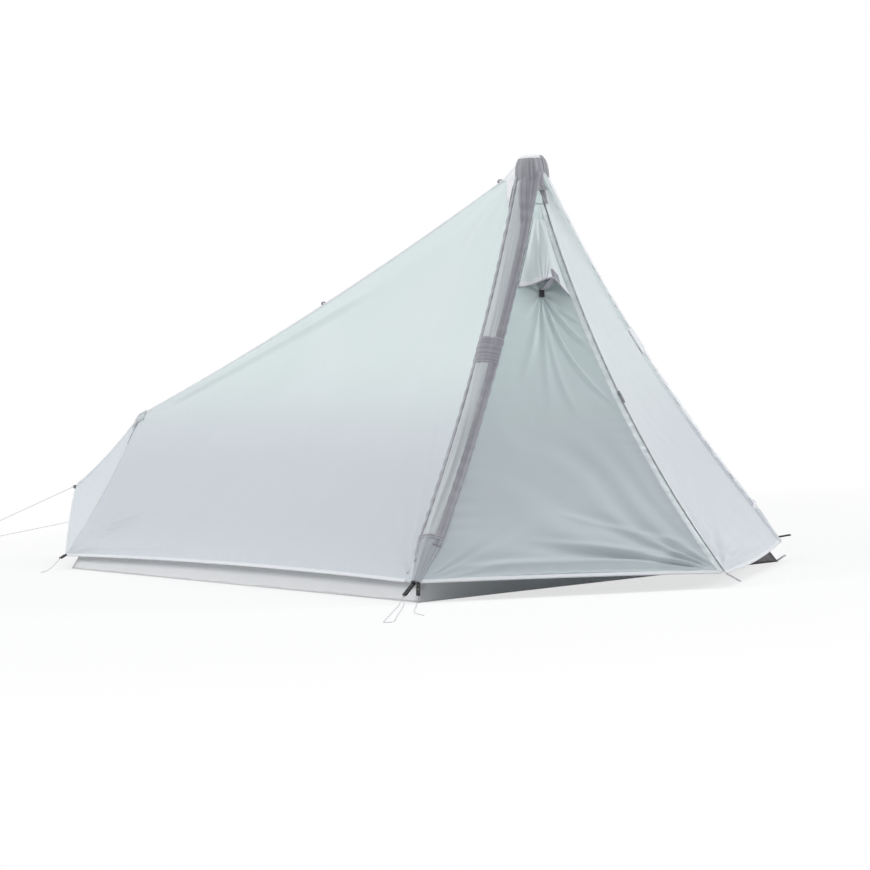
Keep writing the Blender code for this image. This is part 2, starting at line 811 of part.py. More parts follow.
def beak_patch(side):
    """Foot beak panel from the foot seam back to the raised tip."""
    facing = unit(np.cross(foot_corner(side) - FOOT_PEAK, BEAK_TIP - FOOT_PEAK)) * side
    facing = facing if facing[1] * side > 0 else -facing
    seam = Arc(foot_corner(side), FOOT_PEAK, SLEEVES["near" if side < 0 else "far"].side_face, -FOOT_SEAM_BOW)
    top_end = BEAK_TIP
    low_end = BEAK_TIP + np.array((0.012, side * 0.022, -BEAK_TIP_WIDTH))
    crest = Arc(FOOT_PEAK, top_end, -UP, BEAK_EDGE_BOW)
    hem = Arc(foot_corner(side), low_end, UP, BEAK_EDGE_BOW)
    end = lambda v: low_end * (1 - v) + top_end * v
    return Patch(seam.point, end, hem.point, crest.point, facing, BEAK_BELLY)


def build_fly():
    """Side, porch and beak panels with their mitred seams."""
    for name, side in SIDES:
        sleeve = SLEEVES[name]
        body = side_patch(side, sleeve)
        beak = beak_patch(side)
        seam_lean = lambda u, v, normal, a=body, b=beak: unit(a.normal(0.0, v) + b.normal(0.0, v))
        front_top = share_at_height(sleeve.arc, CAP_HEM_HEIGHT)
        rows = side_rows()
        panel = sheet(
            name + "_side_panel", body, WHITE_CLOTH, shares(0.0, 1.0, 14), rows,
            insets=(SEAM_GAP, 0.0, 0.0, SEAM_GAP),
            mitres={"top": in_middle_plane, "left": seam_lean, "right": beside_sleeve(sleeve, front_top / SIDE_KINK)},
        )
        cut(panel, CAP_CUTTER)
        sheet(
            name + "_foot_beak", beak, WHITE_CLOTH, shares(0.0, 1.0, 6), rows,
            insets=(SEAM_GAP, 0.0, 0.0, SEAM_GAP), mitres={"top": in_middle_plane, "left": seam_lean},
        )


def cap_ring(height, grow=0.0, count=24):
    """Rounded plan section of the peak cap at a height above its hem."""
    rise = CAP_RISE + grow
    share = (1 - min(max(height, 0.0) / rise, 0.999) ** CAP_PROFILE_POWER) ** (1 / CAP_PROFILE_POWER)
    ring = []
    for step in range(count):
        angle = 2 * math.pi * step / count
        cosine, sine = math.cos(angle), math.sin(angle)
        reach_x = math.copysign(abs(cosine) ** (2 / CAP_PLAN_POWER), cosine) * (CAP_HALF_LENGTH + grow)
        reach_y = math.copysign(abs(sine) ** (2 / CAP_PLAN_POWER), sine) * (CAP_HALF_WIDTH + grow)
        ring.append(np.array((PEAK[0] + reach_x * share, reach_y * share, CAP_HEM_HEIGHT + height)))
    return ring


def cap_heights(grow, steps=7):
    """Ring heights that crowd towards the crown."""
    return [(CAP_RISE + grow) * 0.9985 * math.sin(math.pi / 2 * step / steps) for step in range(steps + 1)]


def build_peak_cap():
    """Domed cap over the meeting point of both sleeves, and the cup that the grips push into."""
    outer = [cap_ring(height) for height in cap_heights(0.0)]
    inner = [cap_ring(height, -CAP_WALL) for height in cap_heights(-CAP_WALL)]
    loft("peak_cap", outer, WHITE_CLOTH, inner, close_end=True)
    shrink = -CAP_WALL - SEAM_GAP
    heights = [height for height in cap_heights(shrink, 14)]
    rings = [cap_ring(height, shrink) for height in heights]
    base = grip_top_height() + GAP
    widest = CUP_SHARE * (CAP_HALF_WIDTH + shrink)
    rings = [ring for ring in rings if max(abs(point[1]) for point in ring) < widest]
    foot = [np.array((point[0], point[1], base)) for point in rings[0]]
    loft("peak_cup", [foot] + rings, BLACK_PLASTIC)


def cap_cutter():
    """Solid dome a gap wider than the cap, to end the side panels at it."""
    rings = [cap_ring(height, SEAM_GAP) for height in cap_heights(SEAM_GAP)]
    rings = [[point + UP * -GAP for point in rings[0]]] + rings
    made = loft("cap_cutter", rings, None, place=CUTTERS)
    made.hide_render = True
    made.display_type = "WIRE"
    return made


def build_porch():
    """Door, fixed yoke, far porch panel, zip tapes and flap."""
    near, far = SLEEVES["near"], SLEEVES["far"]
    door, hinge_top, zip_top = porch_patch(-1.0, near)
    fixed, _, _ = porch_patch(1.0, far)
    zip_line = zip_arc()
    rows = porch_rows()
    door_top = rows[-2]
    hinge = near.edge(0.0, 1)
    door_mitres = {"left": butted_sleeve(near, hinge_top), "right": in_middle_plane}
    far_mitres = {"left": butted_sleeve(far, hinge_top), "right": in_middle_plane}
    tape = ZIP_SLOT / 2 + ZIP_TAPE_WIDTH

    panel = sheet(
        "door_panel", door, WHITE_CLOTH, shares(0.0, 1.0, 12), rows[:-1],
        insets=(0.0, tape + TRIM_GAP, 0.0, 0.0), mitres={"left": door_mitres["left"]}, origin=hinge,
    )
    window = sheet("vent_window_cutter", door, None, shares(*VENT_WINDOW_U, 4), shares(*VENT_WINDOW_V, 4),
                   outer=WINDOW_CUT_DEPTH / 2, thickness=WINDOW_CUT_DEPTH, place=CUTTERS)
    cut(panel, window)
    sheet("vent_mesh", door, PALE_MESH, shares(*VENT_WINDOW_U, 4), shares(*VENT_WINDOW_V, 4),
          insets=(SEAM_GAP, SEAM_GAP, SEAM_GAP, SEAM_GAP), outer=-0.0004, thickness=MESH, origin=hinge)
    sheet(
        "porch_yoke", door, WHITE_CLOTH, shares(0.0, 1.0, 4), rows[-2:],
        insets=(0.0, SEAM_GAP, 2 * SEAM_GAP, 0.0), mitres=door_mitres,
    )
    sheet(
        "far_porch_panel", fixed, WHITE_CLOTH, shares(0.0, 1.0, 12), rows,
        insets=(0.0, tape + TRIM_GAP, 0.0, 0.0), mitres={"left": far_mitres["left"]},
    )
    build_zip_tape("door", door, rows[:-1], hinge)
    build_zip_tape("far", fixed, rows, None)
    build_zip_flap(fixed, rows[-2:])
    build_zip_slider(door, zip_line)
    build_vent(door, hinge, Rest(bpy.data.objects["door_panel"]))


def zip_strip(patch, rows, reaches, lift, thickness):
    """Point grids of a strip beside the zip line; reaches run towards it."""
    outer_grid, inner_grid = [], []
    for v in rows:
        width = patch.width(v)
        outside, inside = [], []
        for reach in reaches:
            u = 1.0 - reach / width
            normal = patch.normal(u, v)
            lean = in_middle_plane(u, v, normal) if reach == reaches[-1] else normal
            lean = lean / (lean @ normal)
            point = patch.point(u, v)
            outside.append(point + lean * (lift + thickness))
            inside.append(point + lean * lift)
        outer_grid.append(outside)
        inner_grid.append(inside)
    return outer_grid, inner_grid


def build_zip_tape(name, patch, rows, origin):
    """Half of the zip: a tape between a panel and the zip line, standing a little proud."""
    whole = ZIP_SLOT / 2 + ZIP_TAPE_WIDTH
    reaches = (whole, whole * 0.55, ZIP_SLOT / 2)
    grids = zip_strip(patch, rows, reaches, ZIP_TAPE_RISE - TAPE_THICKNESS, TAPE_THICKNESS)
    add_mesh(name + "_zip_tape", grid_solid(name, *grids), GREY_CLOTH, origin=origin)


def build_zip_flap(patch, rows):
    """Dark flap over the top of the zip, on the far panel's side."""
    whole = ZIP_SLOT / 2 + ZIP_TAPE_WIDTH
    reaches = (whole * 0.98, whole * 0.55, ZIP_SLOT / 2)
    grids = zip_strip(patch, rows, reaches, ZIP_TAPE_RISE + SEAM_GAP, FLAP_THICKNESS)
    add_mesh("zip_top_flap", grid_solid("zip_top_flap", *grids), GREY_CLOTH)


def zip_slope(door, zip_line, share):
    """Angle by which the door's tape falls away from the zip line."""
    out = zip_line.radial(share)
    out = out if out[0] > 0 else -out
    face = door.normal(1.0, share / share_at_height(zip_line, PORCH_TOP_HEIGHT))
    return math.atan2(abs(face @ ACROSS), face @ out)


def build_zip_slider(door, zip_line):
    """Slider that straddles the zip line, its lower plate behind the door's tape, and its pull."""
    place = zip_line.point(SLIDER_AT)
    along = zip_line.tangent(SLIDER_AT)
    out = -zip_line.radial(SLIDER_AT)
    out = out if out[0] > 0 else -out
    across = np.cross(out, along)
    slope = max(zip_slope(door, zip_line, share) for share in shares(SLIDER_LOW, SLIDER_HIGH, 8))
    side = -1.0 if across[1] > 0 else 1.0
    seat = ZIP_TAPE_RISE / math.cos(slope) + SLIDER_CLEARANCE
    under = (TAPE_THICKNESS - ZIP_TAPE_RISE) / math.cos(slope) + GAP
    post = ZIP_SLOT / 2 - 2 * GAP
    half, low, plate = SLIDER_WIDTH / 2, SLIDER_UNDER_WIDTH, SLIDER_PLATE
    drop = math.tan(slope)
    outline = [
        (-half, seat), (-half, seat + plate * 0.6), (-half * 0.6, seat + plate), (half * 0.6, seat + plate),
        (half, seat + plate * 0.6), (half, seat), (post, seat), (post, -under - plate - post * drop),
        (-low, -under - plate - low * drop), (-low, -under - low * drop),
        (-post, -under - post * drop), (-post, seat),
    ]
    outline = [(x * side * -1.0, y) for x, y in outline]
    flat_outline("zip_slider", [outline], SLIDER_LENGTH, BLACK_PLASTIC, (across, out, along), place)
    pull_root = place + out * (seat + plate + 2 * GAP + 0.0010) - along * SLIDER_LENGTH * 0.2
    shape = round_outline(PULL_LENGTH, PULL_WIDTH, 6, 0.0015)
    shape = [(x + (PULL_WIDTH - PULL_THICKNESS) / 2, y) for x, y in shape]
    directions = (-along, np.cross(out, -along), out)
    flat_outline("zip_pull", [shape], PULL_THICKNESS, BLACK_PLASTIC, directions, pull_root)


def hood_lift(across, up):
    """How far the vent hood stands off the door."""
    return HOOD_RISE * math.sin(math.pi * across) ** 0.9 * (1 - up) ** 1.1


def build_vent(door, hinge, carrier):
    """Vent hood over the mesh window, its prop strap and the tab that the prop hinges on."""
    steps_across, steps_up = 14, 8
    outer_grid, inner_grid = [], []
    for row in range(steps_up + 1):
        outside, inside = [], []
        for column in range(steps_across + 1):
            across, up = column / steps_across, row / steps_up
            hem = HOOD_HEM_AT + HOOD_ARCH * math.sin(math.pi * across)
            v = hem + (HOOD_TOP_AT - hem) * up
            low = HOOD_INSET / door.width(v)
            high = 1.0 - (ZIP_SLOT / 2 + ZIP_TAPE_WIDTH + HOOD_INSET) / door.width(v)
            u = low + (high - low) * across
            normal = door.normal(u, v)
            lift = hood_lift(across, up)
            point = door.point(u, v) if lift > TRIM_GAP else carrier.under(door.point(u, v), normal)
            outside.append(point + normal * (TRIM_GAP + CLOTH + lift))
            inside.append(point + normal * (TRIM_GAP + lift))
        outer_grid.append(outside)
        inner_grid.append(inside)
    add_mesh("vent_hood", grid_solid("vent_hood", outer_grid, inner_grid), WHITE_CLOTH, origin=hinge)

    tip = inner_grid[0][steps_across // 2]
    root_v = HOOD_HEM_AT + PROP_ROOT_RISE
    surface, normal = door.point(PROP_U, root_v), door.normal(PROP_U, root_v)
    up_door = door.slopes(PROP_U, root_v)[1]
    root = surface + normal * (PROP_TAB_THICKNESS / 2 + TRIM_GAP)
    tip = tip - normal * PROP_TIP_GAP + up_door * PROP_TIP_TUCK
    reach = tip - root
    length = np.linalg.norm(reach)
    along = reach / length
    hinge_axis = unit(np.cross(normal, up_door))
    bend = unit(np.cross(along, hinge_axis))
    bend = bend if bend @ up_door < 0 else -bend
    strap = Arc(root, tip - along * (PROP_THICKNESS / 2), bend, length * PROP_BOW)
    rings = []
    for step in range(9):
        share = step / 8
        centre, flat = strap.point(share), strap.radial(share)
        half_width, half = PROP_WIDTH / 2, PROP_THICKNESS / 2
        rings.append([centre + hinge_axis * x * half_width + flat * y * half
                      for x, y in ((-1, -1), (1, -1), (1, 1), (-1, 1))])
    loft("vent_prop", rings, GREY_CLOTH, origin=root)
    tab_place = root - up_door * (PROP_TAB_LENGTH / 2 + PROP_THICKNESS)
    tab = box_mesh("prop_tab", (-PROP_WIDTH / 2, -PROP_TAB_LENGTH / 2, -PROP_TAB_THICKNESS / 2),
                   (PROP_WIDTH / 2, PROP_TAB_LENGTH / 2, PROP_TAB_THICKNESS / 2))
    made = add_mesh("prop_tab", tab, BLACK_PLASTIC)
    made.matrix_world = frame_matrix((hinge_axis, np.cross(normal, hinge_axis), normal), tab_place)


def build_sleeves():
    """Sleeves, their middle patches and the foot pockets."""
    for name, side in SIDES:
        sleeve = SLEEVES[name]
        start = sleeve.share(POCKET_LENGTH)
        stations = sleeve_stations()
        end = share_at_height(sleeve.arc, CAP_HEM_HEIGHT + 0.02)
        steps = [start + sleeve.share(SEAM_GAP)] + stations[POCKET_STEPS + 1 :] + [end]
        outer = [sleeve.ring(share) for share in steps]
        inner = [sleeve.ring(share, SLEEVE_WALL) for share in steps]
        tube = loft(name + "_pole_sleeve", outer, GREY_CLOTH, inner)
        cut(tube, SLEEVE_CUTTER)
        steps = stations[POCKET_STEPS::-1]
        floor = sleeve.share(POCKET_FLOOR)
        outer = [sleeve.ring(share) for share in steps]
        inner = [sleeve.ring(share, SLEEVE_WALL) for share in steps[:-1]]
        inner.append(sleeve.ring(floor, SLEEVE_WALL))
        loft(name + "_foot_pocket", outer, GREY_CLOTH, inner, close_end=True)
        build_sleeve_patch(name, sleeve)


def build_sleeve_patch(name, sleeve):
    """Reinforcement wrapped over the outer face of the sleeve."""
    reach = math.radians(62)
    outer_grid, inner_grid = [], []
    low, high = sleeve.share(SLEEVE_PATCH_FROM), sleeve.share(SLEEVE_PATCH_FROM + SLEEVE_PATCH_LENGTH)
    for share in shares(low, high, 3):
        centre, out = sleeve.arc.point(share), sleeve.outward(share)
        grids = ([], [])
        for step in range(13):
            angle = math.pi / 2 - reach + 2 * reach * step / 12
            for grid, lift in zip(grids, (TRIM_GAP + SLEEVE_PATCH_THICKNESS, TRIM_GAP)):
                width, depth = sleeve.half_width(share) + lift, sleeve.half_depth(share) + lift
                grid.append(centre + sleeve.wide * width * math.cos(angle) + out * depth * math.sin(angle))
        outer_grid.append(grids[0])
        inner_grid.append(grids[1])
    add_mesh(name + "_sleeve_patch", grid_solid(name, outer_grid, inner_grid), GREY_CLOTH)


def pole_length(sleeve):
    """Distance up the pole of the middle of the grip's round top."""
    clear = GRIP_RADIUS + 0.001
    share = 0.5
    low, high = 0.5, 1.0
    for _ in range(40):
        share = (low + high) / 2
        if abs(sleeve.arc.point(share)[1]) > clear / math.cos(math.radians(30)) * 1.05:
            low = share
        else:
            high = share
    return share * sleeve.arc.run


def grip_top_height():
    """Highest point of the round top of a grip."""
    sleeve = SLEEVES["near"]
    return sleeve.arc.point(sleeve.share(pole_length(sleeve)))[2] + GRIP_RADIUS


def build_poles():
    """Trekking poles bent along their sleeves, in telescoping sections."""
    for name, side in SIDES:
        sleeve = SLEEVES[name]
        top = pole_length(sleeve)
        tip = POCKET_FLOOR + 2 * GAP
        build_lower_shaft(name, sleeve, tip)
        middle_end = UPPER_CLAMP_AT + SHAFT_INSERTION
        build_shaft(name + "_pole_middle_shaft", sleeve, LOWER_CLAMP_AT, middle_end, MIDDLE_SHAFT_RADIUS)
        grip_from = top - GRIP_LENGTH
        upper_end = top - 0.045
        build_shaft(name + "_pole_upper_shaft", sleeve, UPPER_CLAMP_AT, upper_end, UPPER_SHAFT_RADIUS)
        build_grip(name, sleeve, grip_from, upper_end, top)
        for level, at in (("lower", LOWER_CLAMP_AT), ("upper", UPPER_CLAMP_AT)):
            build_lever(name + "_pole_" + level + "_lever", sleeve, at + CLAMP_LENGTH - 0.008)


def build_lower_shaft(name, sleeve, tip):
    """Lower section with its pointed tip."""
    end = LOWER_CLAMP_AT + SHAFT_INSERTION
    stations = [(tip, POLE_TIP_RADIUS * 0.6), (tip + 0.004, POLE_TIP_RADIUS),
                (tip + 0.022, POLE_TIP_RADIUS * 1.1), (tip + 0.024, LOWER_SHAFT_RADIUS * 0.96),
                (tip + 0.060, LOWER_SHAFT_RADIUS)]
    stations += [(value, LOWER_SHAFT_RADIUS) for value in shares(tip + 0.12, end, 6)]
    loft(name + "_pole_lower_shaft", [sleeve.circle(*station) for station in stations], ALLOY)


def build_shaft(name, sleeve, start, end, radius):
    """Hollow section with a clamp collar round its lower end."""
    stations = [(start, CLAMP_RADIUS - 0.0015), (start + 0.002, CLAMP_RADIUS),
                (start + CLAMP_LENGTH - 0.002, CLAMP_RADIUS), (start + CLAMP_LENGTH, CLAMP_RADIUS - 0.0015),
                (start + CLAMP_LENGTH + 0.006, radius)]
    stations += [(value, radius) for value in shares(start + CLAMP_LENGTH + 0.06, end, 5)]
    outer = [sleeve.circle(*station) for station in stations]
    inner = [sleeve.circle(distance, radius - SHAFT_WALL) for distance in shares(start, end, 7)]
    loft(name, outer, ALLOY, inner)


def build_grip(name, sleeve, start, shaft_end, top):
    """Foam grip with a waist and a round top, bored for the upper shaft."""
    outer = []
    for share in shares(0.0, 1.0, 6):
        distance = start + (top - start) * share
        swell = 1.0 - 0.10 * math.sin(math.pi * share) - 0.12 * (1 - smooth(share / 0.12))
        outer.append(sleeve.circle(distance, GRIP_RADIUS * swell))
    for step in range(1, 4):
        angle = math.pi / 2 * step / 3.5
        outer.append(sleeve.circle(top + GRIP_RADIUS * math.sin(angle), GRIP_RADIUS * math.cos(angle)))
    bore = UPPER_SHAFT_RADIUS + GAP
    inner = [sleeve.circle(distance, bore) for distance in shares(start, shaft_end + GAP, 4)]
    loft(name + "_pole_grip", outer, BLACK_FOAM, inner, close_end=True)


def build_lever(name, sleeve, at):
    """Clamp lever folded down along its collar, hinged at its upper end."""
    share = sleeve.share(at)
    centre, out, along = sleeve.arc.point(share), sleeve.outward(share), sleeve.arc.tangent(share)
    flat_radius = CLAMP_RADIUS * math.cos(math.pi / ROUND_STEPS)
    place = centre + sleeve.wide * (flat_radius + GAP + LEVER_THICKNESS / 2)
    outline = round_outline(LEVER_LENGTH, LEVER_THICKNESS, 6, 0.001)
    basis = (-along, sleeve.wide, np.cross(-along, sleeve.wide))
    flat_outline(name, [outline], LEVER_WIDTH, BLACK_PLASTIC, basis, place)


def tub_corner(end, side, share):
    """Corner of the floor tub; share runs from the ground to the rim."""
    width = TUB_HEAD_WIDTH if end > 0 else TUB_FOOT_WIDTH
    x = HEAD_X if end > 0 else FOOT_X + TUB_FOOT_INSET
    lean = TUB_WALL_LEAN * share
    return np.array((x - end * lean * 0.6, side * (width / 2 - lean), TUB_WALL_HEIGHT * share))


def inner_peak(side):
    """Top corner of the inner tent under the peak."""
    return np.array((PEAK[0] - INNER_PEAK_BACK, side * INNER_PEAK_WIDTH / 2, PEAK_HEIGHT - INNER_PEAK_DROP))


def inner_foot_top(side):
    """Top corner of the inner tent at the foot."""
    return np.array((FOOT_X + TUB_FOOT_INSET + 0.01, side * INNER_FOOT_TOP_WIDTH / 2, INNER_FOOT_HEIGHT))


def build_tub():
    """Floor tub: a flat bottom with low walls that lean in."""
    order = ((1, -1), (1, 1), (-1, 1), (-1, -1))

    def ring(share, shrink, height):
        points = []
        for end, side in order:
            corner = tub_corner(end, side, share)
            points.append(np.array((corner[0] - end * shrink, corner[1] - side * shrink, height)))
        return points

    outer = [ring(1.0, 0.0, TUB_WALL_HEIGHT), ring(0.0, 0.0, 0.0)]
    wall = TUB_THICKNESS * 1.25
    floor_share = TUB_THICKNESS / TUB_WALL_HEIGHT
    inner = [ring(1.0, wall, TUB_WALL_HEIGHT), ring(floor_share, wall, TUB_THICKNESS)]
    loft("floor_tub", outer, DARK_FLOOR, inner, close_end=True)


def lean_between(first, second):
    """Lean of a seam between two flat-ish walls with these outward directions."""
    both = unit(unit(first) + unit(second))
    return lambda u, v, normal: both


def level_edge(u, v, normal):
    """Lean of an edge that is cut level."""
    return unit(normal - UP * (normal @ UP))


def reach_to_pole(patch, lifts):
    """How far a strip on this patch runs on past its left edge before either skin meets the foot pole."""
    faces = Rest(bpy.data.objects["foot_pole"]).faces
    along = unit(patch.point(0.0, 0.5) - patch.point(1.0, 0.5))
    reaches = []
    for lift in lifts:
        start = patch.point(0.0, 0.5) + patch.normal(0.0, 0.5) * lift
        hit = faces.ray_cast(Vector(start), Vector(along), FOOT_POLE_SEARCH)[0]
        reaches.append(np.linalg.norm(np.array(hit) - start) - GAP)
    return min(reaches)


def build_inner_walls():
    """Mesh walls above the tub and the hinged mesh door in the head wall."""
    rim = {(end, side): tub_corner(end, side, 1.0) + UP * 2 * GAP for end in (1, -1) for side in (-1, 1)}
    head_face = np.cross(rim[1, 1] - rim[1, -1], inner_peak(-1) - rim[1, -1])
    head_face = unit(head_face) * (1 if head_face[0] > 0 else -1)
    foot_face = np.cross(rim[-1, 1] - rim[-1, -1], inner_foot_top(-1) - rim[-1, -1])
    foot_face = unit(foot_face) * (1 if foot_face[0] < 0 else -1)
    side_faces = {}
    for side in (-1, 1):
        face = np.cross(rim[1, side] - rim[-1, side], inner_peak(side) - rim[-1, side])
        side_faces[side] = unit(face) * (1 if face[1] * side > 0 else -1)

    def head_edge(side):
        return Arc(rim[1, side], inner_peak(side), -(head_face + side_faces[side]), INNER_EDGE_BOW)

    def foot_edge(side):
        return Arc(rim[-1, side], inner_foot_top(side), -(foot_face + side_faces[side]), 0.01)

    def straight(start, end):
        return lambda share: start * (1 - share) + end * share

    for name, side in SIDES:
        side = int(side)
        patch = Patch(foot_edge(side).point, head_edge(side).point, straight(rim[-1, side], rim[1, side]),
                      straight(inner_foot_top(side), inner_peak(side)), side_faces[side], INNER_BELLY)
        mitres = {"left": lean_between(foot_face, side_faces[side]),
                  "right": lean_between(head_face, side_faces[side]), "bottom": level_edge}
        sheet("inner_" + name + "_wall", patch, PALE_MESH, shares(0, 1, 10), shares(0, 1, 8),
              insets=(SEAM_GAP, SEAM_GAP, 0, 0), mitres=mitres)
    ridge = Patch(straight(inner_foot_top(-1), inner_foot_top(1)), straight(inner_peak(-1), inner_peak(1)),
                  straight(inner_foot_top(-1), inner_peak(-1)),
                  straight(inner_foot_top(1), inner_peak(1)), UP)
    reach = reach_to_pole(ridge, (RIDGE_TAPE_LIFT, RIDGE_TAPE_LIFT - RIDGE_TAPE_THICKNESS))
    sheet("inner_ridge_tape", ridge, GREY_CLOTH, shares(0, 1, 6), (0.0, 1.0),
          insets=(-reach, 0.002, -0.004, -0.004), outer=RIDGE_TAPE_LIFT, thickness=RIDGE_TAPE_THICKNESS)
    foot = Patch(foot_edge(-1).point, foot_edge(1).point, straight(rim[-1, -1], rim[-1, 1]),
                 straight(inner_foot_top(-1), inner_foot_top(1)), foot_face, 0.006)
    sheet("inner_foot_wall", foot, PALE_MESH, shares(0, 1, 5), shares(0, 1, 8),
          insets=(SEAM_GAP, SEAM_GAP, 0, 0),
          mitres={"left": lean_between(foot_face, side_faces[-1]),
                  "right": lean_between(foot_face, side_faces[1]), "bottom": level_edge})
    head = Patch(head_edge(-1).point, head_edge(1).point, straight(rim[1, -1], rim[1, 1]),
                 straight(inner_peak(-1), inner_peak(1)), head_face, 0.0)
    wall = sheet("inner_head_wall", head, PALE_MESH, shares(0, 1, 10), shares(0, 1, 8),
                 insets=(SEAM_GAP, SEAM_GAP, 0, 0),
                 mitres={"left": lean_between(head_face, side_faces[-1]),
                         "right": lean_between(head_face, side_faces[1]), "bottom": level_edge})
    window = sheet("inner_door_cutter", head, None, shares(*INNER_DOOR_U, 5), shares(*INNER_DOOR_V, 5),
                   outer=WINDOW_CUT_DEPTH / 2, thickness=WINDOW_CUT_DEPTH, place=CUTTERS)
    cut(wall, window)
    middle = sum(INNER_DOOR_U) / 2
    hinge_v = INNER_DOOR_V[0] + GAP / head.height(middle)
    hinge = head.point(middle, hinge_v) - head.normal(middle, hinge_v) * CLOTH
    sheet("inner_door", head, PALE_MESH, shares(*INNER_DOOR_U, 5), shares(*INNER_DOOR_V, 5),
          insets=(2 * GAP, 2 * GAP, 2 * GAP, 2 * GAP), origin=hinge)


def wedge_drop(radius):
    """How far below the ridge line a round of this radius sits under both panels at the foot peak."""
    panels = (side_patch(-1.0, SLEEVES["near"]), beak_patch(-1.0))
    rise = min(abs(patch.normal(0.0, 1.0)[2]) for patch in panels)
    return (radius + CLOTH + SEAM_GAP) / rise


def rod_ring(centre, along, radius, count=12):
    """Round section across a direction."""
    first = unit(np.cross(along, ACROSS))
    second = np.cross(along, first)
    turns = [2 * math.pi * step / count for step in range(count)]
    return [centre + radius * (first * math.cos(a) + second * math.sin(a)) for a in turns]


def build_foot():
    """Foot pole with its thicker ends, and the patch over the ridge above it."""
    bottom = np.array((FOOT_X - FOOT_POLE_BACK, 0.0, FOOT_TIP_RADIUS * 0.12))
    top = FOOT_PEAK - UP * wedge_drop(FOOT_TIP_RADIUS)
    along = unit(top - bottom)
    length = np.linalg.norm(top - bottom)
    stations = [(0.0, FOOT_TIP_RADIUS), (FOOT_CAP_LENGTH - 0.001, FOOT_TIP_RADIUS),
                (FOOT_CAP_LENGTH, FOOT_POLE_RADIUS), (length - FOOT_CAP_LENGTH, FOOT_POLE_RADIUS),
                (length - FOOT_CAP_LENGTH + 0.001, FOOT_TIP_RADIUS)]
    for turn in (0.0, 0.45, 0.9, 1.3):
        stations.append((length + FOOT_TIP_RADIUS * math.sin(turn), FOOT_TIP_RADIUS * math.cos(turn)))
    rings = [rod_ring(bottom + along * distance, along, radius) for distance, radius in stations]
    loft("foot_pole", rings, ALLOY)
    build_ridge_patch()


def ridge_surface(along, down, side):
    """Point and normal of the fly near the foot peak; along runs forward from it, down is down the panel."""
    if along >= 0:
        patch = side_patch(side, SLEEVES["near" if side < 0 else "far"])
        u = along / ridge_arc().run
    else:
        patch = beak_patch(side)
        u = -along / np.linalg.norm(BEAK_TIP - FOOT_PEAK)
    v = 1.0 - down / patch.height(u)
    return patch.point(u, v), patch.normal(u, v)


def build_ridge_patch():
    """Reinforcement folded over the ridge above the foot pole."""
    outer_grid, inner_grid = [], []
    for along in (-RIDGE_PATCH_BACK, -RIDGE_PATCH_BACK / 2, 0.0, RIDGE_PATCH_FRONT / 2, RIDGE_PATCH_FRONT):
        outside, inside = [], []
        for step in range(-3, 4):
            side = -1.0 if step < 0 else 1.0
            point, normal = ridge_surface(along, RIDGE_PATCH_DROP * abs(step) / 3, side)
            if along == 0.0:
                normal = unit(normal + ridge_surface(-1e-6, RIDGE_PATCH_DROP * abs(step) / 3, side)[1])
            lean = in_middle_plane(0, 0, normal) if step == 0 else normal
            lean = lean / (lean @ normal)
            outside.append(point + lean * (TRIM_GAP + WEBBING))
            inside.append(point + lean * TRIM_GAP)
        outer_grid.append(outside)
        inner_grid.append(inside)
    add_mesh("foot_ridge_patch", grid_solid("foot_ridge_patch", outer_grid, inner_grid), GREY_CLOTH)


def loop_outline(length, height, band):
    """Flat loop standing on the X axis: outer outline and the hole inside it."""
    outer = [(-length / 2, 0.0)]
    inner = [(-length / 2 + band, band)]
    for step in range(7):
        angle = math.pi * (1 - step / 6)
        rise, reach = math.sin(angle), math.cos(angle)
        outer.append((length / 2 * reach, height * 0.45 + height * 0.55 * rise))
        inner.append(((length / 2 - band) * reach, height * 0.45 + (height * 0.55 - band) * rise))
    outer.append((length / 2, 0.0))
    inner.append((length / 2 - band, band))
    return [outer, inner]


def build_ridge_loops():
    """Webbing loops that stand on the ridge."""
    line = ridge_arc()
    for name, share in (("ridge_loop_middle", MIDDLE_LOOP_SHARE), ("ridge_loop_front", FRONT_LOOP_SHARE)):
        along = line.tangent(share)
        rise = np.cross(along, ACROSS)
        rise = rise if rise[2] > 0 else -rise
        root = line.point(share) + rise * GAP
        outline = loop_outline(LOOP_LENGTH, LOOP_HEIGHT, LOOP_BAND)
        flat_outline(name, outline, WEBBING, GREY_CLOTH, (along, rise, np.cross(along, rise)), root)


def slotted_plate(length, width, slots=1):
    """Adjuster outline along +X with a round root end and cross slots."""
    outline = round_outline(length, width, 6, width * 0.15)
    outline = [(x + width / 2, y) for x, y in outline]
    loops = [outline]
    slot_wide, slot_long = width * 0.18, width * 0.58
    for step in range(slots):
        centre = width * 0.5 + (length * 0.78) * (step + 0.5) / slots
        low, high = centre - slot_wide / 2, centre + slot_wide / 2
        loops.append([(low, -slot_long / 2), (high, -slot_long / 2)])
        loops[-1] += [(high, slot_long / 2), (low, slot_long / 2)]
    return loops


def build_adjuster(name, root, towards, flat, length, width, thickness, slots, look=BLACK_PLASTIC):
    """Plate from root towards a direction, its flat face turned to the flat direction."""
    along = unit(towards)
    facing = unit(flat - along * (flat @ along))
    outline = slotted_plate(length, width, slots)
    return flat_outline(name, outline, thickness, look, (along, np.cross(facing, along), facing), root)


def build_seated(name, carrier, root, towards, flat, size, slots, look=BLACK_PLASTIC):
    """Adjuster or strap that starts a gap off its carrier; size is length, width, thickness."""
    length, width, thickness = size
    rest = Rest(bpy.data.objects[carrier])
    start = rest.seat(root, np.array(towards), flat, width, thickness)
    build_adjuster(name, start, np.array(towards), flat, length, width, thickness, slots, look)


